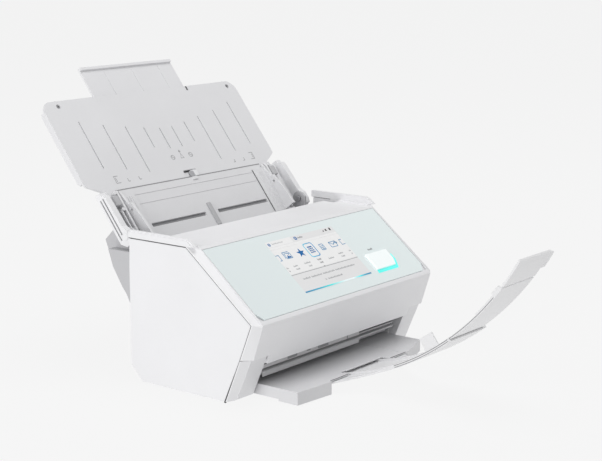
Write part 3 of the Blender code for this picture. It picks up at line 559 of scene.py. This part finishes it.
def engrave(node_name, tools):
    """Cut tools out of a copy of a CAD node, which the copy then stands for."""
    source = NODES[node_name]
    piece = bpy.data.objects.new(node_name + "_detailed", source.data.copy())
    bpy.context.scene.collection.objects.link(piece)
    weld = piece.modifiers.new("weld", "WELD")
    weld.merge_threshold = 1e-6
    for tool in tools:
        cut = piece.modifiers.new(tool.name, "BOOLEAN")
        cut.operation = "DIFFERENCE"
        cut.solver = "EXACT"
        cut.object = tool
    bpy.context.view_layer.update()
    depsgraph = bpy.context.evaluated_depsgraph_get()
    piece.data = bpy.data.meshes.new_from_object(piece.evaluated_get(depsgraph))
    piece.modifiers.clear()
    for tool in tools:
        bpy.data.objects.remove(tool, do_unlink=True)
    material, width = look_of(node_name)
    piece.data.materials.clear()
    piece.data.materials.append(material)
    for polygon in piece.data.polygons:
        polygon.material_index = 0
    soften(piece, width, bevel_steps(width))
    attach(piece, source["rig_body"])
    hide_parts(node_name)
    return piece


# -------------------------------------------------------------------- screen

SKIN = 0.06     # thickness of a printed layer
LAYER = 0.03    # step from one layer to the next
FILM = 0.01     # gap between the glass and the first layer


def layer(level):
    """Heights of the nth printed layer above the glass."""
    return FILM + level * LAYER, FILM + SKIN + level * LAYER


def glass_plates(name, outlines, level, material):
    """Printed shapes on one layer of the screen."""
    low, high = layer(level)
    return plates(name, outlines, on_glass, low, high, material, "cover")


def glass_strokes(name, strokes, width, level, material, rings=()):
    """Printed lines and frames on one layer of the screen."""
    bm = bmesh.new()
    low, high = layer(level)
    for points in strokes:
        add_stroke(bm, points, width, on_glass, low, high)
    for outer, inner in rings:
        add_ring(bm, outer, inner, on_glass, low, high)
    return finish_piece(name, bm, material, "cover")


# Page, its bands and rules
PAGE_LEFT, PAGE_RIGHT = -54.8, 52.8
PAGE_TOP = 81.2
glass_plates("screen_page", [rect(PAGE_LEFT, 14.6, PAGE_RIGHT, PAGE_TOP)], 0, SCREEN)
glass_plates("screen_bands", [rect(PAGE_LEFT, 38.4, PAGE_RIGHT, 71.0),
                              rect(PAGE_LEFT, 74.0, -16.0, PAGE_TOP)], 1, SCREEN_PALE)
glass_plates("screen_rule", [rect(PAGE_LEFT, 71.2, PAGE_RIGHT, 73.6)], 2,
             ink("rule_white", (0.97,) * 3))
glass_plates("screen_divider", [rect(PAGE_LEFT, 37.0, PAGE_RIGHT, 37.7)], 1, TEXT_SOFT)

# Row of generic pictures
ICON_LINE = 0.75
STAR_MIDDLE = (-18.3, 59.8)
STAR_RADII = (6.0, 2.5)
mountain = [[(-41.0, 57.6), (-38.6, 61.2), (-36.9, 59.0), (-35.8, 60.2), (-34.4, 57.6)],
            circle(-36.0, 62.2, 0.8, 10)]
star = []
for point in range(10):
    radius = STAR_RADII[point % 2]
    turn = radians(90 + 36 * point)
    star.append((STAR_MIDDLE[0] + radius * cos(turn), STAR_MIDDLE[1] + radius * sin(turn)))
glass_plates("icon_star", [star], 3, BLUE)
glass_plates("icon_picture", mountain, 3, BLUE)
scroll_lines = [[(14.8, 57.4 + i * 1.9), (18.4, 57.4 + i * 1.9)] for i in range(3)]
open_ends = [[(-54.6, 63.4), (-50.6, 63.4), (-50.6, 56.4), (-53.0, 56.4)],
             [(50.4, 63.2), (46.8, 63.2), (46.8, 56.6), (51.6, 56.6)]]
picture_behind = [[(-43.6, 58.0), (-43.6, 65.2), (-34.8, 65.2)]]
mail_box = [[(29.6, 63.2), (34.6, 59.4), (39.6, 63.2)], [(36.2, 60.9), (41.2, 60.9)],
            [(39.6, 62.4), (41.4, 60.9), (39.6, 59.4)]]
icon_frames = [
    (rect(-42.2, 56.6, -33.4, 63.8), rect(-41.5, 57.3, -34.1, 63.1)),
    (round_rect(13.2, 55.8, 19.9, 64.0, 1.2), round_rect(13.9, 56.5, 19.2, 63.3, 0.8)),
    (round_rect(29.2, 56.2, 39.9, 63.6, 1.0), round_rect(29.9, 56.9, 39.2, 62.9, 0.6)),
]
glass_strokes("icons_small", open_ends + picture_behind + mail_box + scroll_lines, ICON_LINE, 3,
              BLUE_SOFT, icon_frames)
glass_strokes("icon_outline", [], 1.0, 3, HIGHLIGHT,
              [(round_rect(-8.4, 50.8, 6.0, 69.2, 3.0), round_rect(-7.4, 51.8, 5.0, 68.2, 2.3))])

# The highlighted picture: a page of rows split by two pale lines
page_rows = [rect(-4.6, 56.2 + i * 2.3, 2.4, 57.6 + i * 2.3) for i in range(3)]
page_head = [rect(-4.6, 63.0, 2.4, 64.6)]
page_gap = [[(-2.4, 56.0), (-2.4, 63.2)], [(0.1, 56.0), (0.1, 63.2)]]
glass_plates("icon_page", page_rows + page_head, 3, BLUE)
glass_strokes("icon_page_lines", page_gap, 0.5, 4, SCREEN_PALE)

# Two round marks in the status line
glass_plates("status_marks", [circle(-51.0, 77.6, 1.9, 14), circle(-9.8, 77.8, 2.2, 16)], 3, BLUE)
glass_strokes("status_gaps", [[(-51.9, 76.6), (-51.0, 78.6), (-50.1, 76.6)],
                              [(-11.2, 77.8), (-8.4, 77.8)], [(-9.8, 76.2), (-9.8, 79.4)]],
              0.45, 4, SCREEN_PALE)


def lettering(start, along, spans, height, pitch, fill):
    """Unreadable stand-in for words: letter-wide bars with even gaps, a span for each word."""
    bars = []
    for a, b in spans:
        count = max(int((b - a) / pitch), 1)
        for i in range(count):
            u = start + a + i * pitch
            tall = height if (i * 7) % 5 in (0, 3) else height * 0.72
            bars.append(rect(u, along - height / 2, u + pitch * fill, along - height / 2 + tall))
    return bars


# Soft grey words, as (start, height on the page, length)
SHORT_WORDS = ((-53.6, 46.6, 3.2), (-53.0, 42.8, 2.6), (-42.6, 46.8, 6.8), (-41.8, 42.8, 5.8),
               (-25.4, 46.9, 9.6), (-22.2, 42.6, 5.2), (12.0, 44.9, 8.8), (30.6, 47.4, 8.2),
               (31.8, 43.2, 5.8), (48.4, 47.4, 3.6), (49.0, 43.4, 2.6))
LONG_LINE = [(0.0, 12.0), (13.0, 30.0), (31.2, 50.0), (51.4, 83.6)]
labels = []
for start, along, length in SHORT_WORDS:
    labels += lettering(start, along, [(0.0, length)], 1.9, 0.95, 0.66)
labels += lettering(-43.4, 30.2, LONG_LINE, 1.9, 1.1, 0.62)
labels += lettering(-15.2, 23.0, [(0.0, 3.2), (4.4, 28.0)], 1.8, 1.1, 0.62)
labels += lettering(-46.4, 77.8, [(0.0, 17.2)], 1.6, 1.1, 0.5)
glass_plates("screen_labels", labels, 2, TEXT_SOFT)

# Darker words, the last one beside the button
strong = lettering(-4.4, 47.1, [(0.0, 6.6)], 2.2, 1.0, 0.72)
strong += lettering(-3.8, 43.0, [(0.0, 5.4)], 2.2, 1.0, 0.72)
strong += lettering(-6.4, 77.8, [(0.0, 8.6)], 1.9, 1.0, 0.66)
strong += lettering(75.8, 42.4, [(0.0, 9.0)], 2.2, 1.3, 0.62)
glass_plates("screen_words", strong, 2, TEXT)

# Signal, page and battery signs at the right of the status line
glass_plates("status_icons", [[(34.8, 77.2), (37.0, 77.2), (37.0, 79.8)],
                              [(39.4, 77.4), (42.2, 77.4), (41.6, 79.9), (40.0, 79.9)],
                              rect(46.2, 76.9, 48.4, 79.9), rect(46.8, 79.9, 47.8, 80.5)],
             2, plastic("status_black", (0.03, 0.03, 0.03), 0.3))

# Caret on the divider and the lit bar at the foot
glass_plates("screen_caret", [[(-3.0, 37.7), (-0.4, 37.7), (-1.7, 39.2)]], 2, TEXT_SOFT)
glass_plates("screen_bar", [rect(PAGE_LEFT, 14.4, PAGE_RIGHT, 16.0)], 3, BAR)

# ---------------------------------------------------------- light round the button

inner_edge = [(64.4, 16.0), (96.2, 16.0), (100.0, 23.5), (100.0, 28.0)]
outer_edge = [(63.4, 12.0), (98.4, 12.0), (104.4, 22.8), (104.2, 31.0)]
plates("button_light", [inner_edge + outer_edge[::-1]], on_glass, 0.02, 0.1, AQUA, "cover")

# ----------------------------------------------------------------- chute panel

PANEL_FACE = -2.9
WELL_FLOOR = PANEL_FACE - 0.8
ABOVE = 2.0                      # cutters reach this far out of the panel
MARK_X = 4.3                     # the panel's marks sit this far right of its middle

# Half of the size grooves, as (x, low end, high end); the other half mirrors them
GROOVES = ((114.0, 70.5, 126.8), (84.5, 64.9, 119.4), (55.8, 57.7, 114.1), (31.1, 84.9, 109.9),
           (9.4, 80.5, 106.3))
HALF_GROOVE = 0.6
grooves = []
for x, low, high in GROOVES:
    for _, sign in SIDES:
        middle = sign * x + MARK_X
        grooves.append(rect(middle - HALF_GROOVE, low, middle + HALF_GROOVE, high))
screws = [(sign * 129.0 + MARK_X, 147.0) for _, sign in SIDES]
engrave("chute_panel", [
    cutter("grooves", grooves, on_chute, PANEL_FACE - 1.3, ABOVE),
    cutter("extension_slot", [rect(-69.4, 148.0, 69.4, 160.0)], on_chute, PANEL_FACE - 0.5, ABOVE),
    cutter("latch_well", [round_rect(-5.6, 42.6, 14.2, 52.4, 1.2, 3)], on_chute, WELL_FLOOR,
           ABOVE),
    cutter("screw_wells", [circle(*screw, 2.6) for screw in screws], on_chute, WELL_FLOOR, ABOVE),
])

# A ring-shaped head in each screw well, with a dark six-sided plate of painted shade for its
# socket
for (side, _), screw in zip(SIDES, screws):
    bm = bmesh.new()
    add_ring(bm, circle(*screw, 2.0), circle(*screw, 0.8), on_chute, PANEL_FACE - 0.75,
             PANEL_FACE - 0.25)
    finish_piece(side + "_panel_screw", bm, STEEL, "panel")
    chute_plates(side + "_screw_socket_shade", [circle(*screw, 0.78, 6)], PANEL_FACE - 0.75,
                 PANEL_FACE - 0.7, BLACK, "panel")

# Latch: a painted shadow and a cross bar in the panel's well, under a sprung tongue and a hook
# that reach over the panel from the bed's edge
chute_plates("latch_shadow", [rect(-1.0, 42.8, 4.2, 44.8)], PANEL_FACE - 0.75,
             PANEL_FACE - 0.6, BLACK, "panel")
chute_plates("latch_bar", [round_rect(-4.8, 50.0, 5.0, 51.6, 0.5, 3)], WELL_FLOOR,
             PANEL_FACE - 0.05, BLACK, "panel", 0.2)
chute_plates("latch_tongue", [round_rect(1.0, 43.4, 7.0, 50.0, 0.8, 3)], PANEL_FACE + 0.15,
             PANEL_FACE + 1.2, SMOOTH_GREY, "chute_frame", 0.3)
chute_plates("latch_hook", [round_rect(7.4, 43.4, 12.8, 50.6, 0.8, 3)], PANEL_FACE + 0.15,
             PANEL_FACE + 1.6, SHELL, "chute_frame", 0.3)
catch = chute_plates("latch_catch", [round_rect(-1.4, 38.4, 6.4, 42.0, 0.8, 3)], -0.1, 1.0, PANEL,
                     "chute_frame", 0.25)
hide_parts("panel_latch")

# Printed guidance: three signs and the paper size marks, no words
FACE_PRINT = (PANEL_FACE + 0.005, PANEL_FACE + 0.045)
PRINT_LINE = 0.7
marks = bmesh.new()


def mark_line(points):
    add_stroke(marks, points, PRINT_LINE, on_chute, *FACE_PRINT)


def mark_frame(outer, inner):
    add_ring(marks, outer, inner, on_chute, *FACE_PRINT)


# Two crossed-out circles, with a triangle and an arrow between them
for centre in (-9.0, 18.4):
    mark_frame(circle(centre, 69.6, 2.9), circle(centre, 69.6, 2.25))
    mark_line([(centre - 1.9, 71.0), (centre + 1.9, 68.2)])
mark_frame([(1.7, 67.0), (7.3, 67.0), (4.5, 72.6)], [(2.5, 67.5), (6.5, 67.5), (4.5, 71.5)])
mark_line([(4.5, 72.6), (4.5, 76.6)])
mark_line([(3.3, 75.0), (4.5, 76.8), (5.7, 75.0)])

# Corners for the paper sizes, as (x, height); the outermost one is drawn as a sheet
MARK_FOOT = 51.6
SHEET_X, SHEET_HEIGHT = 107.5, 8.0
for _, sign in SIDES:
    for corner, size in ((SHEET_X, SHEET_HEIGHT), (90.5, 3.2), (74.5, 3.2)):
        edge = sign * corner + MARK_X
        mark_line([(edge - sign * size * 0.7, MARK_FOOT), (edge, MARK_FOOT),
                   (edge, MARK_FOOT + size)])
    edge = sign * SHEET_X + MARK_X
    mark_line([(edge, MARK_FOOT + SHEET_HEIGHT), (edge - sign * 5.0, MARK_FOOT + SHEET_HEIGHT)])
    mark_line([(edge - sign * 1.8, MARK_FOOT + 6.0), (edge - sign * 1.8, MARK_FOOT + 1.8)])
finish_piece("panel_marks", marks, PRINT, "panel")

# Extension: faint ribs, and a dark plate of painted shadow for the stop notch beside its slot
extension_ribs = [rect(x - 0.35, 151.0, x + 0.35, 184.0) for x in (-36.0, 5.0, 46.0)]
engrave("chute_extension", [cutter("ribs", extension_ribs, on_chute, -5.9, 0.0)])
chute_plates("slot_notch_shadow", [rect(67.4, 148.2, 69.3, 153.3)], PANEL_FACE - 0.48,
             PANEL_FACE - 0.35, GAP_DARK, "panel")

# ---------------------------------------------------------------------- hopper

engrave("hopper_bed", [
    cutter("bed_lines", [rect(-93.5, 33.4, 91.0, 34.1), rect(-93.5, 22.6, 91.0, 23.3)], on_chute,
           -0.5, 1.0),
])
# Slot floors in the dark grey of painted shade
chute_plates("bed_slot_floor", [rect(-90.3, -4.2, -9.5, 0.0), rect(9.5, -4.2, 90.3, 0.0)],
             -2.6, -2.1, SHADE, "chute_frame")
# Centre rib in the grey darkened as painted shade
chute_plates("bed_rib", [rect(-2.4, -17.8, 2.9, 9.2)], -0.1, 2.0, HOOD_SHADE_GREY, "chute_frame",
             0.5)
# A dark strip of painted shadow along the bed's upper edge, where the panel meets it
chute_plates("bed_edge_shadow", [rect(-113.6, 41.9, 109.6, 43.0)], -0.4, 0.12, SHADE, "chute_frame")

# Side guides: a strip of painted shadow along the inner edge, and three ribs on each
for side, sign in SIDES:
    body = side + "_guide"
    near, far = mirrored(sign, 92.3, 93.0)
    chute_plates(side + "_guide_edge_shadow", [rect(near, -17.0, far, 36.4)], 0.32, 0.5, GAP_DARK, body)
    ribs = []
    for start in (98.0, 101.0, 104.0):
        near, far = mirrored(sign, start, start + 0.8)
        ribs.append(rect(near, -14.0, far, 33.0))
    chute_plates(side + "_guide_ribs", ribs, 1.5, 1.95, PANEL, body, 0.15)

# Hinge gear between the bed's edge and each arm: a strip, a dark plate of painted shade for a
# channel, a spring bar, a block and two knobs, then two strips of painted shade for channels in
# the arm and a cap on the hinge pin
PIN_CENTRE = (-11.31, 7.66)


def gear_part(side, sign, name, near, far, low, high, foot, top, material, bevel):
    """Block that stands on the chute's plane at the same distance from either side."""
    x0, x1 = mirrored(sign, near, far)
    chute_plates(side + name, [rect(x0, low, x1, high)], foot, top, material, "chute_frame",
                 bevel)


for side, sign in SIDES:
    gear_part(side, sign, "_hinge_strip", 114.4, 117.2, -16.0, 41.0, 0.0, 3.6, SHELL,
              0.6)
    gear_part(side, sign, "_hinge_channel_shade", 117.8, 126.4, -16.0, 24.0, 0.0, 0.5, SHADE,
              0.1)
    gear_part(side, sign, "_hinge_bar", 120.6, 122.2, -16.0, 20.0, 0.5, 3.0, SHELL,
              0.4)
    gear_part(side, sign, "_hinge_block", 118.2, 126.2, 24.4, 36.0, 0.0, 4.4, HOOD_SHADE_GREY,
              1.0)
    knobs = [circle(sign * 119.4, along, 2.1, 16) for along in (19.8, 38.6)]
    chute_plates(side + "_hinge_knobs", knobs, 0.5, 4.2, PANEL, "chute_frame", 0.5)
    near, far = mirrored(sign, 139.25, 139.6)
    plates(side + "_arm_channel_shade", [rect(-11.8, 0.6, 33.8, 2.0), rect(-11.8, 4.6, 33.8, 6.0)],
           on_arm, near, far, SHADE, "chute_frame")
    near, far = mirrored(sign, 140.65, 141.05)
    plates(side + "_pin_cap", [circle(*PIN_CENTRE, 3.9, 24)], on_arm, near, far, SHELL,
           "chute_frame", 0.15)

# Paper exit: lips below and above the slot, with dark plates of painted shade for the idlers'
# windows
LIP_FRONT, LIP_BACK = -53.95, -53.45
plates("exit_lip_lower", [rect(-107.0, 18.6, 48.0, 23.6)], on_back, LIP_FRONT, LIP_BACK,
       PATH_GREY, "base", 0.15)
plates("exit_lip_upper", [rect(-107.0, 26.7, 48.0, 30.2)], on_back, LIP_FRONT, LIP_BACK,
       PATH_GREY, "cover", 0.15)
plates("exit_window_shade", [rect(-69.0, 27.6, -54.0, 30.3), rect(-39.0, 28.8, -33.0, 30.3),
                        rect(-21.0, 27.4, -4.0, 30.3), rect(27.0, 26.8, 28.6, 30.3)], on_back,
       -54.0, -53.93, SHADE, "cover")

# ------------------------------------------------------------------ body seams

# Corners of the seam between side cover and front, as (y, z); a dark strip of painted shadow lies
# just in front of it
SEAM = [Vector(p) for p in ((79.5, 142.4), (5.7, 142.4), (-73.1, 79.4), (-59.0, 44.2),
                            (-39.7, 1.2))]
SEAM_SHADOW_SHIFT = 0.72
SEAM_SHADOW_WIDTH = 1.25
for side, sign in SIDES:
    seam = bmesh.new()
    inner, outer = mirrored(sign, 143.8, 145.9)
    for start, end in zip(SEAM, SEAM[1:]):
        run = (end - start).normalized()
        shift = Vector((run.y, -run.x)) * SEAM_SHADOW_SHIFT
        add_stroke(seam, [start + shift, end + shift], SEAM_SHADOW_WIDTH, on_side, inner, outer)
    finish_piece(side + "_seam_shadow", seam, GAP_DARK, "base")

# --------------------------------------------------------------- rear and base

VENT_PITCH = 5.0
REAR_WELL = 79.2                 # floor of the screw wells
SCREW_TOP = 80.1

# Vents and four screws in the rear cover
vents = [rect(-112.0, 26.0 + VENT_PITCH * row, -48.0, 28.0 + VENT_PITCH * row)
         for row in range(8)]
rear_screws = [(x, z) for x in (-132.0, 132.0) for z in (26.0, 68.0)]
engrave("rear_cover", [
    cutter("vents", vents, on_back, 79.0, 82.0),
    cutter("screw_wells", [circle(*screw, 3.6) for screw in rear_screws], on_back, REAR_WELL,
           82.0),
])
# Each screw head carries a dark cross of painted shade for its cross recess
heads, crosses = bmesh.new(), bmesh.new()
for x, z in rear_screws:
    add_prism(heads, circle(x, z, 2.9, 18), on_back, REAR_WELL, SCREW_TOP)
    for du, dv in ((1.7, 0.35), (0.35, 1.7)):
        add_prism(crosses, rect(x - du, z - dv, x + du, z + dv), on_back, SCREW_TOP, 80.14)
finish_piece("rear_screw_heads", heads, STEEL, "base", 0.3)
finish_piece("rear_screw_cross_shade", crosses, BLACK, "base")

# Frames round the two ports, as wide as RIM, and a blank plate between them and the vents
RIM = 1.6
surrounds = bmesh.new()
for low_x, low_z, high_x, high_z in ((58.0, 44.0, 74.0, 53.0), (92.0, 42.0, 103.0, 53.0)):
    add_ring(surrounds, round_rect(low_x - RIM, low_z - RIM, high_x + RIM, high_z + RIM, 1.5, 3),
             round_rect(low_x, low_z, high_x, high_z, 0.4, 3), on_back, 80.3, 80.9)
finish_piece("port_surrounds", surrounds, HOOD_SHADE_GREY, "base")
plates("rating_plate", [round_rect(-30.0, 32.0, 36.0, 60.0, 1.5, 4)], on_back, 80.4, 80.6, CASING,
       "base")

# Screws in the side covers' feet and in the base
underside = bmesh.new()
for x in (-131.0, 131.0):
    for y in (-6.0, 36.0):
        add_prism(underside, circle(x, y, 3.0, 18), on_level, 1.0, 1.7)
for x in (-96.0, 96.0):
    for y in (-28.0, 54.0):
        add_prism(underside, circle(x, y, 2.4, 18), on_level, 0.3, 0.9)
finish_piece("underside_screws", underside, STEEL, "base", 0.2)

# --------------------------------------------------------------------- stacker

# Bars are (x0, x1, outer radius, inner radius, start angle, end angle)
arc_piece("arm_root", [(-60.0, 60.0, 283.2, 282.1, 5.5, 10.3)], ARM_WHITE, "arm")
# The tip's ridge, its groove strips and the side and edge lines are grey and dark strips of
# painted shade
arc_piece("tip_ridge", [(-28.1, -26.8, 279.9, 279.62, 26.2, 45.9)], HOOD_SHADE_GREY, "arm_tip")
arc_piece("tip_groove_shade", [(-24.8, -23.9, 279.85, 279.65, 27.0, 51.4),
                         (-22.0, -21.5, 279.85, 279.65, 30.0, 51.4)], HOOD_SHADE_GREY, "arm_tip")
arc_piece("arm_side_line", [(30.0, 30.7, 279.85, 279.65, 12.0, 37.8)], SHADE, "arm")
arc_piece("tip_side_line", [(-28.36, -28.15, 280.8, 280.2, 26.2, 51.4)], SHADE, "arm_tip")
arc_piece("arm_edge_lines", [(-31.15, -30.95, 281.0, 280.3, 24.0, 38.1),
                             (-31.15, -30.95, 282.7, 282.1, 24.0, 38.1)], SHADE, "arm")
arc_piece("arm_teeth", [(31.0, 34.4, 283.2, 280.6, 36.6, 38.2),
                        (31.0, 32.6, 283.2, 281.4, 33.6, 34.6),
                        (31.0, 32.6, 283.2, 281.4, 31.8, 32.6)], ARM_WHITE, "arm",
          0.3)
plates("tip_ramp", [[(24.2, 281.75), (26.4, 281.75), (26.4, 279.6), (25.9, 279.6)]], across_arc,
       -28.0, 28.0, ARM_WHITE, "arm_tip", 0.1)
arc_piece("flap_rib", [(-27.6, 27.0, 279.8, 278.8, 54.6, 55.1)], ARM_WHITE, "flap",
          0.2)

# Comb along the tray's front edge, and a dark strip of painted shadow for a slit on either side
COMB_PITCH = 2.5
comb = [rect(-26.0 + COMB_PITCH * i, -92.9, -24.6 + COMB_PITCH * i, -91.2) for i in range(24)]
plates("tray_comb", comb, on_level, 12.2, 13.1, SHELL, "tray")
plates("tray_slit_shadows", [rect(-63.0, -101.9, -35.0, -101.0), rect(36.0, -101.9, 63.0, -101.0)],
       on_level, 13.2, 13.26, GAP_DARK, "tray")

# --------------------------------------------------------------- stage and light

FLOOR_HALF = 30.0       # metres
FLOOR_DROP = 0.0002
FLOOR_GLOW = 0.87       # makes the floor pale and leaves only a faint shadow
SKY_STRENGTH = 0.42
floor_mesh = bpy.data.meshes.new("floor")
floor_corners = [(u, v, 0.0) for u, v in rect(-FLOOR_HALF, -FLOOR_HALF, FLOOR_HALF, FLOOR_HALF)]
floor_mesh.from_pydata(floor_corners, [], [(0, 1, 2, 3)])
floor = bpy.data.objects.new("floor", floor_mesh)
floor.location.z = -FLOOR_DROP
bpy.context.scene.collection.objects.link(floor)
floor_look, _, floor_shader = new_material("floor")
floor_shader.inputs["Base Color"].default_value = (0.05, 0.05, 0.05, 1.0)
floor_shader.inputs["Roughness"].default_value = 1.0
floor_shader.inputs["Specular IOR Level"].default_value = 0.0
floor_shader.inputs["Emission Color"].default_value = (1.0, 1.0, 1.0, 1.0)
floor_shader.inputs["Emission Strength"].default_value = FLOOR_GLOW
floor_mesh.materials.append(floor_look)

world = bpy.data.worlds.new("studio")
bpy.context.scene.world = world
world.use_nodes = True
sky = world.node_tree.nodes["Background"]
sky.inputs["Color"].default_value = (1.0, 1.0, 1.0, 1.0)
sky.inputs["Strength"].default_value = SKY_STRENGTH


def softbox(name, place, target, size, power):
    """Square lamp of the given size in metres, turned towards its target."""
    light = bpy.data.lights.new(name, "AREA")
    light.shape = "RECTANGLE"
    light.size = size
    light.size_y = size
    light.energy = power
    lamp = bpy.data.objects.new(name, light)
    bpy.context.scene.collection.objects.link(lamp)
    lamp.location = place
    lamp.rotation_euler = (Vector(target) - Vector(place)).to_track_quat("-Z", "Y").to_euler()


LIGHT_TARGET = (0.0, 0.0, 0.1)
LIGHT_SIZE = 1.6
softbox("key_left", (-2.6, 0.1, 1.0), LIGHT_TARGET, LIGHT_SIZE, 30.0)
softbox("top", (0.2, -0.2, 2.4), LIGHT_TARGET, LIGHT_SIZE, 27.0)

# Camera: degrees round from the front, above level and rolled, and its place in metres
AZIMUTH, ELEVATION, ROLL = radians(-51.6892), radians(11.2296), radians(-0.1911)
CAMERA_PLACE = Vector((-1.15246, -0.927012, 0.430146))

camera_data = bpy.data.cameras.new("camera")
camera = bpy.data.objects.new("camera", camera_data)
bpy.context.scene.collection.objects.link(camera)
camera_data.sensor_width = 36.0
camera_data.lens = 89.495
camera_data.clip_start = 0.05
camera_data.clip_end = 100.0
look = Vector((-sin(AZIMUTH) * cos(ELEVATION), cos(AZIMUTH) * cos(ELEVATION), -sin(ELEVATION)))
level_right = Vector((cos(AZIMUTH), sin(AZIMUTH), 0.0))
level_up = level_right.cross(look)
right = cos(ROLL) * level_right + sin(ROLL) * level_up
up = -sin(ROLL) * level_right + cos(ROLL) * level_up
camera.matrix_world = Matrix((
    (right.x, up.x, -look.x, CAMERA_PLACE.x),
    (right.y, up.y, -look.y, CAMERA_PLACE.y),
    (right.z, up.z, -look.z, CAMERA_PLACE.z),
    (0.0, 0.0, 0.0, 1.0)))
bpy.context.scene.camera = camera
bpy.context.scene.view_settings.view_transform = "Standard"
